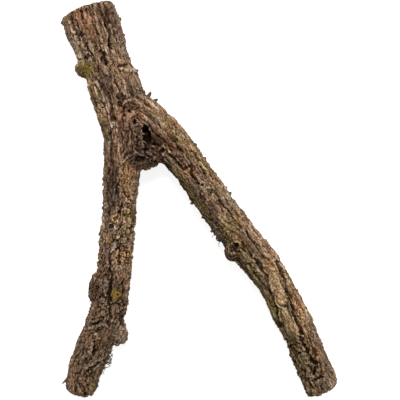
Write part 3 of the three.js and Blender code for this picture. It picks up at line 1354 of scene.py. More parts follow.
@dataclass
class BarkPieces:
    """The three pieces of the branch, parted from one skin so that the bark runs on over the cuts."""

    skin: bpy.types.Mesh

    def parted(self) -> dict[str, bpy.types.Object]:
        """Cuts the skin at the fork.

        Returns:
            A closed piece for each CAD node, by the node's name.
        """
        return {name: self._piece(name) for name in ("main_stem", "left_limb", "right_limb")}

    def _piece(self, name: str) -> bpy.types.Object:
        """Cuts one piece from a copy of the skin and closes it.

        Args:
            name: The CAD node that it stands for.

        Returns:
            The piece.
        """
        shape = bmesh.new()
        shape.from_mesh(self.skin)
        for parting in PARTINGS:
            if name in ("main_stem", parting.node):
                self._cut(shape, parting)
        unwanted = [face for face in shape.faces if self._owner(face) != name]
        bmesh.ops.delete(shape, geom=unwanted, context="FACES")
        rim = [edge for edge in shape.edges if edge.is_boundary]
        for edge in rim:
            edge.smooth = False
        caps = bmesh.ops.holes_fill(shape, edges=rim, sides=0)["faces"]
        bmesh.ops.triangulate(shape, faces=caps)
        mesh = bpy.data.meshes.new(name + "_bark")
        shape.to_mesh(mesh)
        shape.free()
        mesh.shade_smooth()
        return linked(mesh.name, mesh)

    @staticmethod
    def _cut(shape: bmesh.types.BMesh, parting: Parting) -> None:
        """Cuts the faces near a parting plane along it.

        Args:
            shape: The skin, or what is left of it.
            parting: The plane.
        """
        start = parting.start
        way = parting.way
        near = []
        for face in shape.faces:
            middle = face.calc_center_median()
            if parting.parts(middle) and abs((middle - start).dot(way)) < PARTING_REACH * MM:
                near.append(face)
        rims = dict.fromkeys(part for face in near for part in (*face.verts, *face.edges))
        bmesh.ops.bisect_plane(shape, geom=[*rims, *near], dist=1e-7, plane_co=start, plane_no=way)

    @staticmethod
    def _owner(face: bmesh.types.BMFace) -> str:
        """Finds the piece that a face belongs to.

        Args:
            face: A face of the cut skin.

        Returns:
            The name of its CAD node.
        """
        middle = face.calc_center_median()
        for parting in PARTINGS:
            if parting.parts(middle) and (middle - parting.start).dot(Vector(parting.along)) > 0:
                return parting.node
        return "main_stem"


# ----------------------------------------
# Shader graphs
# ----------------------------------------

class Wire:
    """A shader socket that takes part in Python expressions."""

    def __init__(self, graph: "Graph", socket: bpy.types.NodeSocket) -> None:
        """Wraps a socket of a graph's node."""
        self.graph = graph
        self.socket = socket

    def _math(self, operation: str, *values: "Wire | float", clamp: bool = False) -> "Wire":
        """A Math node on some values."""
        settings = {"operation": operation, "use_clamp": clamp}
        return self.graph.node("ShaderNodeMath", settings, dict(enumerate(values)))

    def __add__(self, other: "Wire | float") -> "Wire":
        """The sum."""
        return self._math("ADD", self, other)

    def __radd__(self, other: "Wire | float") -> "Wire":
        """The sum, with the wire on the right."""
        return self._math("ADD", other, self)

    def __sub__(self, other: "Wire | float") -> "Wire":
        """The difference."""
        return self._math("SUBTRACT", self, other)

    def __rsub__(self, other: "Wire | float") -> "Wire":
        """The difference, with the wire on the right."""
        return self._math("SUBTRACT", other, self)

    def __mul__(self, other: "Wire | float") -> "Wire":
        """The product."""
        return self._math("MULTIPLY", self, other)

    def __rmul__(self, other: "Wire | float") -> "Wire":
        """The product, with the wire on the right."""
        return self._math("MULTIPLY", other, self)

    def clamped(self) -> "Wire":
        """The value held between 0 and 1."""
        return self._math("ADD", self, 0.0, clamp=True)

    def step(self, low: float, high: float) -> "Wire":
        """A soft step from 0 at low to 1 at high."""
        inputs = {"Value": self, "From Min": low, "From Max": high}
        return self.graph.node("ShaderNodeMapRange", {"interpolation_type": "SMOOTHSTEP"}, inputs)


Input = Wire | float | Sequence[float]


class Graph:
    """The nodes of one material."""

    def __init__(self, name: str) -> None:
        """Starts an empty material.

        Args:
            name: The material's name.
        """
        self.material = bpy.data.materials.new(name)
        self.material.use_nodes = True
        self._tree = self.material.node_tree
        self._tree.nodes.clear()

    def node(
        self,
        kind: str,
        settings: dict[str, object] | None = None,
        inputs: dict[str | int, object] | None = None,
        output: str | int = 0,
    ) -> Wire:
        """Adds a node.

        Args:
            kind: The node's type.
            settings: Its properties, and a ramp's stops as position and colour under "stops".
            inputs: A value or a wire for each socket, by name or number.
            output: The socket that the caller wants.

        Returns:
            That output as a wire.
        """
        node = self._tree.nodes.new(kind)
        for key, value in (settings or {}).items():
            if key == "stops":
                self._set_stops(node.color_ramp, value)
            else:
                setattr(node, key, value)
        for key, value in (inputs or {}).items():
            if isinstance(value, Wire):
                self._tree.links.new(value.socket, node.inputs[key])
            else:
                node.inputs[key].default_value = value
        return Wire(self, node.outputs[output])

    @staticmethod
    def _set_stops(ramp: bpy.types.ColorRamp, stops: Sequence[tuple[float, Sequence[float]]]) -> None:
        """Gives a ramp its stops.

        Args:
            ramp: The ramp.
            stops: Position and colour of each.
        """
        while len(ramp.elements) < len(stops):
            ramp.elements.new(0.5)
        for element, (position, colour) in zip(ramp.elements, stops):
            element.position = position
            element.color = (*colour, 1.0)

    def attribute(self, name: str, output: str = "Fac") -> Wire:
        """A number or a vector stored on the mesh."""
        settings = {"attribute_type": "GEOMETRY", "attribute_name": name}
        return self.node("ShaderNodeAttribute", settings, output=output)

    def noise(self, place: Wire, scale: float, detail: float = 2.0, rough: float = 0.5) -> Wire:
        """Noise from about 0 to 1, with scale bumps to the metre."""
        inputs = {"Vector": place, "Scale": scale, "Detail": detail, "Roughness": rough}
        return self.node("ShaderNodeTexNoise", {"noise_dimensions": "3D"}, inputs)

    def stretched(self, place: Wire, scale: Sequence[float]) -> Wire:
        """A place with each of its directions scaled."""
        settings = {"operation": "MULTIPLY"}
        return self.node("ShaderNodeVectorMath", settings, {0: place, 1: scale})

    def ramp(self, value: Wire, stops: Sequence[tuple[float, Sequence[float]]]) -> Wire:
        """A colour ramp."""
        return self.node("ShaderNodeValToRGB", {"stops": stops}, {"Fac": value})

    def blend(self, kind: str, amount: Input, first: Input, second: Input) -> Wire:
        """Two colours mixed.

        Args:
            kind: The blend, such as MIX or MULTIPLY.
            amount: How much of the second there is.
            first: The colour below.
            second: The colour above.

        Returns:
            The mixed colour.
        """
        settings = {"data_type": "RGBA", "blend_type": kind, "clamp_factor": True}
        pair = [c if isinstance(c, Wire) else (*c, 1.0) for c in (first, second)]
        inputs = {"Factor": amount, 6: pair[0], 7: pair[1]}
        return self.node("ShaderNodeMix", settings, inputs, output=2)

    def bump(self, height: Wire, distance: float, strength: float) -> Wire:
        """A normal tilted by a height, whose full range is a distance in metres."""
        inputs = {"Height": height, "Distance": distance, "Strength": strength}
        return self.node("ShaderNodeBump", None, inputs)

    def finish(self, **sockets: Input) -> bpy.types.Material:
        """Ends the graph in a Principled shader.

        Args:
            sockets: A value or a wire for each of the shader's sockets, with _ for a space.

        Returns:
            The finished material.
        """
        inputs = {key.replace("_", " "): value for key, value in sockets.items()}
        shader = self.node("ShaderNodeBsdfPrincipled", None, inputs)
        out = self._tree.nodes.new("ShaderNodeOutputMaterial")
        self._tree.links.new(shader.socket, out.inputs["Surface"])
        return self.material


# ----------------------------------------
# Finishes
# ----------------------------------------

Colour = tuple[float, float, float]

TINTS: dict[Tone, Colour] = {
    Tone.RUST: (1.12, 0.93, 0.84),
    Tone.OCHRE: (1.20, 1.11, 0.90),
    Tone.OLIVE: (0.88, 0.97, 0.64),
    Tone.PLUM: (0.76, 0.72, 0.80),
    Tone.TAN: (1.40, 1.40, 1.38),
    # painted shade: the dark tint for cracks, pits, the knot hole and a few shaded edges
    Tone.PAINTED_SHADE: (0.34, 0.28, 0.23),
    Tone.MUSTARD: (0.92, 0.92, 0.36),
    Tone.UMBER: (0.62, 0.61, 0.60),
}


@dataclass(frozen=True)
class BarkFinish:
    """Dry bark: clefts that are darker partly in colour and partly by painted shade, brown plates and
    pale ridge tops that are partly worn and partly painted highlight, tinted in patches.

    Scales are in bumps to the metre. A light says how much of the way from cleft to worn top it adds.
    """

    cleft: Colour = (0.024, 0.010, 0.004)
    shade: Colour = (0.076, 0.044, 0.024)
    middle: Colour = (0.158, 0.103, 0.066)
    crest: Colour = (0.258, 0.182, 0.126)
    worn: Colour = (0.440, 0.335, 0.248)
    grey: Colour = (0.97, 1.01, 1.04)
    warm: Colour = (1.05, 0.98, 0.91)
    rosy: Colour = (1.06, 0.97, 0.97)
    mossy: Colour = (0.99, 1.00, 0.90)
    # painted shade: the tint that darkens the sides that face away from the sun
    damp: Colour = (0.50, 0.48, 0.42)
    wood: Colour = (0.300, 0.200, 0.120)
    wood_dark: Colour = (0.120, 0.072, 0.042)
    heart: Colour = (0.62, 0.52, 0.46)
    fibre_scale: float = 430.0
    streak_scale: float = 190.0
    speck_scale: float = 480.0
    fleck_scale: float = 120.0
    blotch_scale: float = 34.0
    base_light: float = 0.46
    edge_light: float = 0.42
    ridge_light: float = 0.11
    fibre_light: float = 1.65
    streak_light: float = 0.70
    speck_light: float = 1.60
    plate_light: float = 0.20
    bump_height: float = 0.0016
    bump_strength: float = 0.95
    ring_turns: float = 2416.0
    roughness: float = 0.95

    def material(self, name: str) -> bpy.types.Material:
        """Builds the finish.

        Args:
            name: The material's name.

        Returns:
            The material.
        """
        graph = Graph(name)
        place = graph.node("ShaderNodeTexCoord", output="Object")
        grain = graph.attribute("grain", "Vector")
        strands = graph.noise(graph.stretched(grain, (1.0, 1.0, 0.15)), self.fibre_scale, 3.0, 0.65)
        chunks = graph.noise(graph.stretched(grain, (1.0, 1.0, 0.5)), self.fibre_scale, 3.0, 0.65)
        blocky = graph.attribute("blocky")
        fibre = strands * (1.0 - blocky) + chunks * blocky
        streak = graph.noise(graph.stretched(grain, (1.0, 1.0, 0.10)), self.streak_scale, 2.0, 0.55)
        speck = graph.noise(place, self.speck_scale, 2.0, 0.7)
        blotch = graph.noise(place, self.blotch_scale, 3.0, 0.6)
        # partly the bark's own colour, partly painted shade and highlight: edge and ridge darken the
        # hollows and lighten the tops, as the light would
        lightness = (
            self.base_light
            + self.edge_light * graph.attribute("edge")
            + self.ridge_light * graph.attribute("ridge")
            + self.fibre_light * (fibre - 0.5)
            + self.streak_light * (streak - 0.5)
            + self.speck_light * (speck - 0.5)
            + self.plate_light * (graph.attribute("plate") - 0.5)
        )
        stops = (
            (0.0, self.cleft),
            (0.28, self.shade),
            (0.52, self.middle),
            (0.76, self.crest),
            (1.0, self.worn),
        )
        colour = graph.ramp(lightness.clamped(), stops)
        mood = graph.blend("MIX", blotch.step(0.38, 0.62), self.grey, self.warm)
        colour = graph.blend("MULTIPLY", 1.0, colour, mood)
        fleck = graph.noise(place, self.fleck_scale, 2.0, 0.6)
        hue = graph.blend("MIX", fleck.step(0.40, 0.60), self.rosy, self.mossy)
        colour = graph.blend("MULTIPLY", 1.0, colour, hue)
        for tone, tint in TINTS.items():
            patchy = graph.attribute(tone.attribute) * (0.55 + 0.9 * speck)
            colour = graph.blend("MULTIPLY", patchy.clamped(), colour, tint)
        # painted shade: the sides that face away from the sun are darkened in the colour
        colour = graph.blend("MULTIPLY", graph.attribute("damp"), colour, self.damp)
        sawn = graph.attribute("sawn")
        colour = graph.blend("MIX", sawn, colour, self._end_grain(graph, grain))
        relief = 0.6 * fibre + 0.4 * speck
        return graph.finish(
            Base_Color=colour,
            Roughness=self.roughness,
            Specular_IOR_Level=0.1,
            Normal=graph.bump(relief, self.bump_height, self.bump_strength),
        )

    def _end_grain(self, graph: Graph, grain: Wire) -> Wire:
        """The sawn face: growth rings round a dark heart, in a rind of bark.

        Args:
            graph: The finish's graph.
            grain: Where each point lies across, above and along the grain.

        Returns:
            Its colour.
        """
        x = graph.node("ShaderNodeSeparateXYZ", None, {0: grain}, output="X")
        y = graph.node("ShaderNodeSeparateXYZ", None, {0: grain}, output="Y")
        flat = graph.node("ShaderNodeCombineXYZ", None, {"X": x + 0.004, "Y": y - 0.003})
        radius = graph.node("ShaderNodeVectorMath", {"operation": "LENGTH"}, {0: flat}, output="Value")
        wobble = graph.noise(grain, 70.0, 2.0)
        turns = (radius + 0.0032 * wobble) * self.ring_turns
        rings = graph.node("ShaderNodeMath", {"operation": "SINE"}, {0: turns})
        speck = graph.noise(grain, 700.0, 3.0, 0.6)
        blotch = graph.noise(grain, 90.0, 3.0, 0.6)
        tone = 0.5 + 0.40 * rings + 0.9 * (speck - 0.5) + 1.6 * (blotch - 0.5)
        wood = graph.blend("MIX", tone.clamped(), self.wood_dark, self.wood)
        heart = radius + 0.012 * (wobble - 0.5)
        wood = graph.blend("MULTIPLY", heart.step(0.015, 0.009), wood, self.heart)
        rind = graph.blend("MIX", (0.5 + 2.4 * (speck - 0.5)).clamped(), self.shade, self.middle)
        return graph.blend("MIX", graph.attribute("rind"), wood, rind)


@dataclass(frozen=True)
class MattFinish:
    """A dull finish that is speckled between two colours, for whatever is small."""

    dark: Colour
    light: Colour
    speckle: float = 900.0
    contrast: float = 2.2
    patchiness: float = 1.2
    roughness: float = 0.95

    def material(self, name: str) -> bpy.types.Material:
        """Builds the finish.

        Args:
            name: The material's name.

        Returns:
            The material.
        """
        graph = Graph(name)
        place = graph.node("ShaderNodeTexCoord", output="Object")
        grain = graph.noise(place, self.speckle, 3.0, 0.65)
        patch = graph.noise(place, self.speckle / 5, 2.0)
        amount = 0.5 + self.contrast * (grain - 0.5) + self.patchiness * (patch - 0.5)
        return graph.finish(
            Base_Color=graph.blend("MIX", amount.clamped(), self.dark, self.light),
            Roughness=self.roughness,
            Specular_IOR_Level=0.1,
            Normal=graph.bump(grain, 0.0005, 0.5),
        )


MUSTARD_FINISH = MattFinish((0.060, 0.042, 0.010), (0.290, 0.205, 0.042))
ORANGE_FINISH = MattFinish((0.330, 0.120, 0.015), (0.560, 0.240, 0.040))
BROWN_FINISH = MattFinish((0.028, 0.018, 0.009), (0.155, 0.105, 0.050))
TUFT_FINISH = MattFinish((0.030, 0.022, 0.013), (0.130, 0.108, 0.066))
FIBRE_FINISH = MattFinish((0.016, 0.011, 0.008), (0.085, 0.062, 0.045))
FLAKE_FINISH = MattFinish((0.026, 0.015, 0.009), (0.210, 0.140, 0.092), 600.0)
CHIP_FINISH = MattFinish((0.300, 0.220, 0.170), (0.600, 0.490, 0.410))


@dataclass(frozen=True)
class StudioFinish:
    """The matt white table that the branch lies on."""

    colour: Colour = (0.5, 0.5, 0.5)
    glow: float = 0.8

    def material(self, name: str) -> bpy.types.Material:
        """Builds the finish.

        Args:
            name: The material's name.

        Returns:
            The material.
        """
        graph = Graph(name)
        return graph.finish(
            Base_Color=(*self.colour, 1.0),
            Roughness=0.95,
            Specular_IOR_Level=0.1,
            Emission_Color=(1.0, 1.0, 1.0, 1.0),
            Emission_Strength=self.glow,
        )


# ----------------------------------------
# Studio
# ----------------------------------------


@dataclass(frozen=True)
class Studio:
    """The white table, the soft light and the camera that looks straight down."""

    lens: float = 100.0
    sensor: float = 36.0
    view_width: float = 508.0
    view_height: float = 30.0
    view_middle: Pair = (0.42, 1.6)
    floor_size: float = 6000.0
    sky: float = 0.5
    sun: float = 2.8
    sun_from: tuple[float, float, float] = (0.0, 0.5, 1.0)
    sun_softness: float = 20.0

    def build(self) -> None:
        """Makes the floor, the lights and the camera."""
        self._floor()
        self._light()
        self._camera()
        bpy.context.scene.view_settings.view_transform = "Standard"

    def _floor(self) -> None:
        """A wide white table just under the branch."""
        shape = bmesh.new()
        bmesh.ops.create_grid(shape, x_segments=1, y_segments=1, size=self.floor_size / 2 * MM)
        bmesh.ops.translate(shape, verts=shape.verts, vec=(0, 0, -0.2 * MM))
        mesh = bpy.data.meshes.new("table")
        shape.to_mesh(mesh)
        shape.free()
        mesh.materials.append(StudioFinish().material("white_table"))
        linked("table", mesh)

    def _light(self) -> None:
        """An even white sky and one soft sun."""
        world = bpy.data.worlds.new("sky")
        world.use_nodes = True
        background = world.node_tree.nodes["Background"]
        background.inputs["Color"].default_value = (1.0, 1.0, 1.0, 1.0)
        background.inputs["Strength"].default_value = self.sky
        bpy.context.scene.world = world
        lamp = bpy.data.lights.new("sun", "SUN")
        lamp.energy = self.sun
        lamp.angle = math.radians(self.sun_softness)
        sun = linked("sun", lamp)
        sun.rotation_euler = Vector(self.sun_from).to_track_quat("Z", "Y").to_euler()

    def _camera(self) -> None:
        """A long lens straight above the branch, with +Y up in the picture."""
        lens = bpy.data.cameras.new("camera")
        lens.lens = self.lens
        lens.sensor_width = self.sensor
        lens.clip_end = 20.0
        camera = linked("camera", lens)
        away = self.view_width * self.lens / self.sensor
        x, y = self.view_middle
        camera.location = Vector((x, y, self.view_height + away)) * MM
        bpy.context.scene.camera = camera


# ----------------------------------------
# What grows on the bark and hangs off it
# ----------------------------------------


@dataclass(frozen=True)
class Foothold:
    """A place on the bark, in metres, and the way that the bark faces there."""

    at: Vector
    out: Vector

    def frame(self, heading: Vector) -> Matrix:
        """Axes that stand here, with Z as near to the bark's outward way as can be.

        Args:
            heading: The way that X points.

        Returns:
            The axes as a matrix, in metres.
        """
        x = heading.normalized()
        y = self.out.cross(x)
        y = y.normalized() if y.length > 1e-4 else x.orthogonal().normalized()
        turn = Matrix((x, y, x.cross(y))).transposed().to_4x4()
        return Matrix.Translation(self.at) @ turn


class BarkSurface:
    """The finished bark, for finding footholds on."""

    SKY = 200.0  # higher than any bark
    UNDERSIDE = 4.0  # bark below this height is never seen from above

    def __init__(self, skin: bpy.types.Mesh) -> None:
        """Sorts the faces for searching.

        Args:
            skin: The carved bark, before it is parted.
        """
        shape = bmesh.new()
        shape.from_mesh(skin)
        self._tree = BVHTree.FromBMesh(shape)
        shape.free()

    def above(self, x: float, y: float) -> Foothold | None:
        """Finds the bark straight below a point of the plan.

        Args:
            x: The point's place on the plan, in millimetres.
            y: The same, towards the sawn end.

        Returns:
            The foothold, or None beside the branch.
        """
        start = Vector((x / PLAN_SCALE, y / PLAN_SCALE, self.SKY)) * MM
        at, out, _, _ = self._tree.ray_cast(start, Vector((0, 0, -1)))
        if at is None or at.z < self.UNDERSIDE * MM:
            return None
        return Foothold(at, out)

    def beside(self, x: float, y: float, height: float = 34.0) -> Foothold:
        """Finds the nearest bark to a point.

        Args:
            x: The point's place on the plan, in millimetres.
            y: The same, towards the sawn end.
            height: How high the point is.

        Returns:
            The foothold.
        """
        start = Vector((x / PLAN_SCALE, y / PLAN_SCALE, height)) * MM
        at, out, _, _ = self._tree.find_nearest(start)
        return Foothold(at, out)


def heading(degrees: float, rise: float = 0.0) -> Vector:
    """A way across the plan, turned from +X towards +Y, with some rise."""
    turn = math.radians(degrees)
    return Vector((math.cos(turn), math.sin(turn), rise)).normalized()


def scatter(count: int, seed: int) -> Array:
    """Rows of six even random numbers from 0 to 1."""
    return np.random.default_rng(seed).random((count, 6))


class Growth:
    """A closed mesh that is put together from many small solids."""

    def __init__(self, name: str) -> None:
        """Starts with nothing."""
        self.name = name
        self.shape = bmesh.new()

    def tube(self, path: Sequence[Vector], radii: Sequence[float], sides: int = 6) -> None:
        """Adds a thin closed stalk.

        Args:
            path: Its middle line, in metres.
            radii: Its radius at each point of the line, in millimetres.
            sides: How many sides it has.
        """
        rings = []
        side = (path[1] - path[0]).orthogonal().normalized()
        for index, (at, radius) in enumerate(zip(path, radii)):
            before = path[max(index - 1, 0)]
            after = path[min(index + 1, len(path) - 1)]
            way = (after - before).normalized()
            side = (side - way * side.dot(way)).normalized()
            up = way.cross(side)
            turns = [2 * math.pi * step / sides for step in range(sides)]
            ring = [at + (side * math.cos(turn) + up * math.sin(turn)) * radius * MM for turn in turns]
            rings.append([self.shape.verts.new(place) for place in ring])
        for first, second in zip(rings, rings[1:]):
            for step in range(sides):
                after = (step + 1) % sides
                self.shape.faces.new((first[step], first[after], second[after], second[step]))
        self.shape.faces.new(rings[0][::-1])
        self.shape.faces.new(rings[-1])

    def lump(self, at: Matrix, size: Sequence[float], rough: float, seed: int) -> None:
        """Adds a knobbly lump.

        Args:
            at: Where it is and how it is turned.
            size: Its half sizes, in millimetres.
            rough: How uneven it is, as a share of its size.
            seed: Picks its shape.
        """
        verts = bmesh.ops.create_icosphere(self.shape, subdivisions=2, radius=1.0)["verts"]
        places = np.array([v.co for v in verts])
        swell = 1.0 + rough * Noise(seed).layers(places * 1.7, 2)
        for vert, place in zip(verts, places * swell[:, None] * np.array(size) * MM):
            vert.co = at @ Vector(place)

    def flake(self, at: Matrix, size: tuple[float, float, float], curl: float, seed: int) -> None:
        """Adds a ragged bent plate that tapers away from its root.

        Args:
            at: Where its root is; X runs along it and Z is its upper side.
            size: Its length, width and thickness, in millimetres.
            curl: How far its tip bends up, in millimetres.
            seed: Picks its outline.
        """
        before = len(self.shape.verts)
        verts = bmesh.ops.create_cube(self.shape, size=1.0)["verts"]
        edges = list(dict.fromkeys(edge for vert in verts for edge in vert.link_edges))
        bmesh.ops.subdivide_edges(self.shape, edges=edges, cuts=5, use_grid_fill=True)
        every = list(self.shape.verts)[before:]
        length, width, thickness = size
        places = np.array([vert.co for vert in every])
        along = places[:, 0] + 0.5
        ragged = Noise(seed).layers(places * (3.0, 3.0, 0.6) + seed, 2, 0.7)
        taper = (1.0 - 0.55 * along**1.5) * (1.0 + 0.5 * ragged * along)
        x = (along * (1.0 + 0.25 * ragged) - 0.25) * length
        y = places[:, 1] * width * taper
        z = places[:, 2] * thickness * (1.0 - 0.5 * along) + curl * along**2 + 0.35 * thickness * ragged
        for vert, place in zip(every, np.stack([x, y, z], 1) * MM):
            vert.co = at @ Vector(place)

    def finished(self, material: bpy.types.Material) -> bpy.types.Object:
        """Ends the mesh, with every solid facing outwards.

        Args:
            material: Its finish.

        Returns:
            The piece, shaded smooth.
        """
        bmesh.ops.recalc_face_normals(self.shape, faces=self.shape.faces)
        mesh = bpy.data.meshes.new(self.name)
        self.shape.to_mesh(mesh)
        self.shape.free()
        mesh.shade_smooth()
        mesh.materials.append(material)
        return linked(self.name, mesh)


class SmallPiece:
    """A piece made of many small solids; each kind of piece says what it is made of."""

    name: str

    def build(self, surface: BarkSurface, material: bpy.types.Material) -> bpy.types.Object:
        """Builds the piece.

        Args:
            surface: The bark that it stands on.
            material: Its finish.

        Returns:
            The finished piece.
        """
        growth = Growth(self.name)
        self.fill(growth, surface)
        return growth.finished(material)

    def fill(self, growth: Growth, surface: BarkSurface) -> None:
        """Adds the solids to the growth."""
        raise NotImplementedError


@dataclass(frozen=True)
class Patch:
    """A patch of cushion lichen: where it is on the plan, its half sizes and how thickly it grows."""

    at: Pair
    size: Pair
    lumps: int
    lump: float
    wraps: bool = False


@dataclass(frozen=True)
class CushionLichen(SmallPiece):
    """Granular lichen cushions, made of many small lumps."""

    name: str
    patches: tuple[Patch, ...]
    seed: int = 5
    roughness: float = 0.5
    wrap: Pair = (26.0, 62.0)

    def fill(self, growth: Growth, surface: BarkSurface) -> None:
        """Grows the cushions.

        Args:
            growth: What they are added to.
            surface: The bark that they grow on.
        """
        for patch in self.patches:
            for index, chance in enumerate(scatter(patch.lumps, self.seed + patch.lumps)):
                foothold = self._foothold(surface, patch, chance)
                if foothold is None:
                    continue
                radius = patch.lump * (0.5 + 0.8 * chance[3])
                way = foothold.out.orthogonal()
                size = (radius, radius * (0.7 + 0.4 * chance[4]), radius * 0.62)
                growth.lump(foothold.frame(way), size, self.roughness, self.seed + index)

    def _foothold(self, surface: BarkSurface, patch: Patch, chance: Array) -> Foothold | None:
        """Picks a place in the patch, which has a ragged edge.

        Args:
            surface: The bark.
            patch: The patch.
            chance: Random numbers from 0 to 1.

        Returns:
            The foothold, or None beside the branch.
        """
        turn = 2 * math.pi * chance[0]
        reach = math.sqrt(chance[1]) * (0.8 + 0.3 * math.sin(3 * turn + 1.0))
        x = patch.at[0] + patch.size[0] * reach * math.cos(turn)
        y = patch.at[1] + patch.size[1] * reach * math.sin(turn)
        if patch.wraps:
            low, high = self.wrap
            return surface.beside(x, y, low + (high - low) * chance[2])
        return surface.above(x, y)


@dataclass(frozen=True)
class Tuft:
    """A small branched tuft: its root on the plan, which way it leans and how long it is."""

    at: Pair
    lean: float
    length: float
    stems: int = 4


@dataclass(frozen=True)
class TuftLichen(SmallPiece):
    """Wiry grey-green lichen that forks into ever finer twigs."""

    name: str
    tufts: tuple[Tuft, ...]
    thickness: float = 0.75
    spread: float = 0.75
    sway: float = 0.35
    shorter: float = 0.72
    thinner: float = 0.7
    forks: int = 3
    seed: int = 17

    def fill(self, growth: Growth, surface: BarkSurface) -> None:
        """Grows the tufts.

        Args:
            growth: What they are added to.
            surface: The bark that they grow on.
        """
        random = np.random.default_rng(self.seed)
        for tuft in self.tufts:
            root = surface.beside(*tuft.at, height=30.0)
            for _ in range(tuft.stems):
                way = heading(tuft.lean + random.uniform(-40, 40), random.uniform(-0.1, 0.8))
                start = root.at - root.out * 0.6 * MM
                self._grow(growth, random, start, way, tuft.length * 0.45, self.thickness, self.forks)

    def _grow(
        self,
        growth: Growth,
        random: np.random.Generator,
        start: Vector,
        way: Vector,
        length: float,
        radius: float,
        forks: int,
    ) -> None:
        """Adds one twig and what forks from its end.

        Args:
            growth: What it is added to.
            random: The tuft's random numbers.
            start: Where it starts, in metres.
            way: The way that it sets off.
            length: How long it is, in millimetres.
            radius: How thick it is, in millimetres.
            forks: How many more times it forks.
        """
        bend = Vector(random.uniform(-self.sway, self.sway, 3))
        middle = start + (way + bend * 0.5).normalized() * length * 0.5 * MM
        end = middle + (way + bend).normalized() * length * 0.5 * MM
        growth.tube((start, middle, end), (radius, radius * 0.85, radius * 0.65), 5)
        if forks == 0:
            return
        for _ in range(2):
            turned = (way + self.spread * Vector(random.uniform(-1, 1, 3))).normalized()
            thin = radius * self.thinner
            self._grow(growth, random, end, turned, length * self.shorter, thin, forks - 1)


@dataclass(frozen=True)
class Fibre:
    """A loose root hair or bast fibre: its root on the plan, its heading, length, curl and radius."""

    at: Pair
    lean: float
    length: float
    curl: float = 60.0
    radius: float = 0.6
    height: float = 32.0


@dataclass(frozen=True)
class LooseFibres(SmallPiece):
    """Dark curling fibres that stand off the bark's edges."""

    name: str
    fibres: tuple[Fibre, ...]
    steps: int = 14

    def fill(self, growth: Growth, surface: BarkSurface) -> None:
        """Draws out the fibres.

        Args:
            growth: What they are added to.
            surface: The bark that they hang from.
        """
        for index, fibre in enumerate(self.fibres):
            root = surface.beside(*fibre.at, height=fibre.height)
            place = root.at - root.out * 0.8 * MM
            path = [place]
            for step in range(self.steps):
                share = step / self.steps
                way = heading(fibre.lean + fibre.curl * share**1.3, 0.5 * math.cos(5 * share + index))
                place = place + way * fibre.length / self.steps * MM
                path.append(place)
            radii = [fibre.radius * (1.0 - 0.7 * step / self.steps) for step in range(len(path))]
            growth.tube(path, radii)


@dataclass(frozen=True)
class Flake:
    """A flake of bark: its root on the plan, its heading and its sizes."""

    at: Pair
    lean: float
    length: float
    width: float = 5.0
    thickness: float = 1.4
    curl: float = 0.8
    rise: float = 0.25
    height: float | None = 36.0


@dataclass(frozen=True)
class BarkFlakes(SmallPiece):
    """Flakes that have come partly away from the bark."""

    name: str
    flakes: tuple[Flake, ...]
    seed: int = 3

    def fill(self, growth: Growth, surface: BarkSurface) -> None:
        """Shapes the flakes.

        Args:
            growth: What they are added to.
            surface: The bark that they are part of.
        """
        for index, flake in enumerate(self.flakes):
            if flake.height is None:
                root = surface.above(*flake.at)
            else:
                root = surface.beside(*flake.at, height=flake.height)
            stand = Foothold(root.at, Vector((0, 0, 1))).frame(heading(flake.lean, flake.rise))
            size = (flake.length, flake.width, flake.thickness)
            growth.flake(stand, size, flake.curl, self.seed + index)


MUSTARD_LICHEN = CushionLichen(
    "mustard_lichen",
    (
        Patch((-150, 168), (7.5, 9), 60, 1.2, wraps=True),
        Patch((-143, 167), (6, 10), 120, 1.0),
        Patch((-107, -120), (6.0, 8), 90, 0.9),
        Patch((-136, 171), (5, 6), 14, 0.7),
        Patch((48, -26), (5, 8), 20, 0.6),
        Patch((-87, -19), (6, 7), 10, 0.6),
    ),
)
ORANGE_LICHEN = CushionLichen("orange_lichen", (Patch((-108.5, -122.5), (1.8, 1.8), 9, 0.9),), 9)

BROWN_LICHEN = CushionLichen(
    "brown_lichen",
    (
        Patch((-152, 169), (5.5, 9), 80, 1.2, wraps=True),
        Patch((-150, 166), (5, 8), 30, 0.9),
        Patch((-138, -112), (4, 13), 50, 1.0, wraps=True),
    ),
    41,
)

LICHEN_TUFTS = TuftLichen(
    "lichen_tufts",
    (
        Tuft((-118, -194), 0, 5.5, 3),
        Tuft((-119, -202), -15, 7.5, 5),
        Tuft((-120, -209), -30, 7, 4),
        Tuft((-126, -219), -40, 5, 2),
        Tuft((-113, -187), 20, 5, 3),
        Tuft((23, -53), 150, 6, 3),
    ),
)

LOOSE_FIBRES = LooseFibres(
    "loose_fibres",
    (
        Fibre((24, -52), 165, 19, -190, 0.85),
        Fibre((25, -54), 190, 16, -230, 0.75),
        Fibre((22, -50), 120, 12, 150, 0.7),
        Fibre((23, -55), 210, 10, 120, 0.6),
        Fibre((-123, -217), -10, 13, 50, 0.85),
        Fibre((-124, -220), -40, 9, -60, 0.65),
        Fibre((-131.5, -80), 165, 4.5, 60),
        Fibre((-134, -96), 120, 5.0, -70),
        Fibre((-142, -130), 190, 5.0, 60),
        Fibre((-144.5, -147), 175, 4.5, -50),
        Fibre((-156, 172), 150, 5.0, 70),
        Fibre((-155.5, 168), 200, 4.0, -70),
        Fibre((-60, 131), 80, 5.5, 60),
        Fibre((-171.5, -226), 200, 6.0, 60),
        Fibre((-155, -184), 175, 4.0, -60),
        Fibre((-126, 20), 180, 3.5, 60),
    ),
)

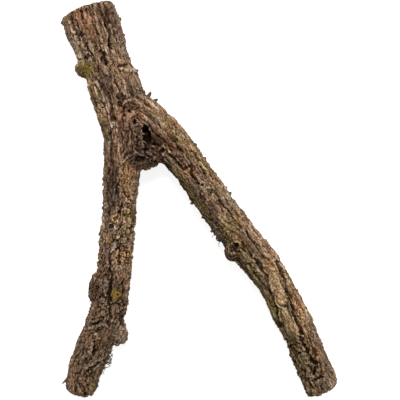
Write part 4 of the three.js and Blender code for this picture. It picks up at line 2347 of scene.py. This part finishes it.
DARK_FLAKES = BarkFlakes(
    "bark_flakes",
    (
        Flake((-63, 138), 58, 8.5, 5.5, 1.8, 1.6, height=46.0),
        Flake((-55, 133), 30, 6.0, 5.0, 1.6, height=46.0),
        Flake((-70, 140), 80, 4.0, 4.0, 1.6, height=44.0),
        Flake((-84.5, 167), 15, 6.5, 6.0, 1.8, 1.2),
        Flake((-100, 235), 5, 3.0, 6.0),
        Flake((-91, 184), 10, 3.0),
        Flake((-5, 73), 35, 3.0),
        Flake((6, 55), 35, 3.4),
        Flake((28, 22), 30, 4.0, 5.0, 1.5),
        Flake((34, 18), 60, 3.4, 4.0),
        Flake((39, 10), 25, 4.4, 5.5, 1.6),
        Flake((44, 0), 20, 3.6),
        Flake((54, -12), 30, 3.0),
        Flake((66, -28), 40, 3.0, 6.0),
        Flake((107, -86), 25, 2.6),
        Flake((136, -147), 20, 3.4, 6.0, 1.6),
        Flake((150, -172), 20, 3.0, 7.0, 1.6),
        Flake((-13, -4), 215, 3.6, 4.5, 1.6),
        Flake((0, -22), 215, 2.6, 4.0),
        Flake((14, -40), 220, 2.6, 4.0),
        Flake((106, -178), 200, 2.6),
        Flake((116, -206), 200, 2.6),
        Flake((-125, 28), 180, 2.6, 6.0),
        Flake((-125, -8), 185, 3.0),
        Flake((-129, -42), 175, 4.0, 6.5, 2.0, 1.2),
        Flake((-136, -98), 130, 5.0, 4.0, 1.6, 1.4),
        Flake((-140, -107), 165, 4.4, 10.0, 1.8, 1.6),
        Flake((-140.5, -121), 185, 4.0, 9.0, 1.8, 1.6),
        Flake((-141, -132), 200, 3.0, 4.5),
        Flake((-86, -20), 0, 2.6),
        Flake((-86, -44), -5, 3.0),
        Flake((-89, -88), -5, 2.6),
        Flake((-95, -128), -5, 2.6, 6.0),
        Flake((-92, -172), -20, 4.0, 5.0, 2.0, 1.0),
        Flake((-97, -182), -60, 3.6, 6.0, 2.0, 1.0),
        Flake((-169.5, -229), 228, 14.0, 3.4, 1.8, 2.0, height=22.0),
        Flake((-171, -234), 205, 6.0, 3.0, height=20.0),
        Flake((-152, 196), 175, 2.6),
        Flake((-156, 172), 150, 3.6, 4.0, 1.4, 1.0),
        Flake((-156, 164), 195, 3.2, 4.0, 1.4, 1.0),
    ),
)
PALE_CHIPS = BarkFlakes(
    "pale_chips",
    (
        Flake((-111.3, 97), -85, 5.5, 3.4, 1.6, 0.6, 0.0, None),
        Flake((-103.7, -83), -80, 3.0, 2.4, 1.4, 0.4, 0.0, None),
        Flake((-133, -170), -10, 5.0, 3.0, 1.4, 0.5, 0.0, None),
        Flake((-79.5, 97.5), -60, 3.0, 2.2, 1.6, 0.3, 0.0, None),
    ),
)


# ----------------------------------------
# The branch
# ----------------------------------------


def triangles(piece: bpy.types.Object) -> int:
    """How many triangles a piece has."""
    return sum(len(polygon.vertices) - 2 for polygon in piece.data.polygons)


def hand_over(piece: bpy.types.Object, slot: str, *nodes: str) -> None:
    """Joins a finished piece to the frame and reports it.

    Args:
        piece: The piece.
        slot: The record's material slot for it; it is not used.
        nodes: The CAD nodes that it stands for.
    """
    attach(piece, BODY)
    if nodes:
        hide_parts(*nodes)
    log.info("%s: %d triangles, %s", piece.name, triangles(piece), piece.data.materials[0].name)


class Branch:
    """The whole branch and what grows on it."""

    def build(self) -> None:
        """Makes, dresses and hands over every piece."""
        skin = BarkSkin(Grain()).carved()
        bark = BarkFinish().material("furrowed_bark")
        for node, piece in BarkPieces(skin).parted().items():
            piece.data.materials.append(bark)
            hand_over(piece, "bark", node)
        self._grow(BarkSurface(skin))
        bpy.data.meshes.remove(skin)

    @staticmethod
    def _grow(surface: BarkSurface) -> None:
        """Adds the lichen, the fibres and the flakes.

        Args:
            surface: The bark that they grow on.
        """
        growths = (
            (MUSTARD_LICHEN, MUSTARD_FINISH, "mustard_lichen", "lichen"),
            (BROWN_LICHEN, BROWN_FINISH, "brown_lichen", "lichen"),
            (ORANGE_LICHEN, ORANGE_FINISH, "orange_lichen", "lichen"),
            (LICHEN_TUFTS, TUFT_FINISH, "grey_lichen", "lichen"),
            (LOOSE_FIBRES, FIBRE_FINISH, "dark_fibre", "bark"),
            (DARK_FLAKES, FLAKE_FINISH, "flaking_bark", "bark"),
            (PALE_CHIPS, CHIP_FINISH, "pale_wood", "bark"),
        )
        for growth, finish, material, slot in growths:
            hand_over(growth.build(surface, finish.material(material)), slot)


def main() -> None:
    """Builds the studio and the branch."""
    logging.basicConfig(level=logging.INFO, format="%(name)s: %(message)s")
    Studio().build()
    Branch().build()


if __name__ == "__main__":
    main()
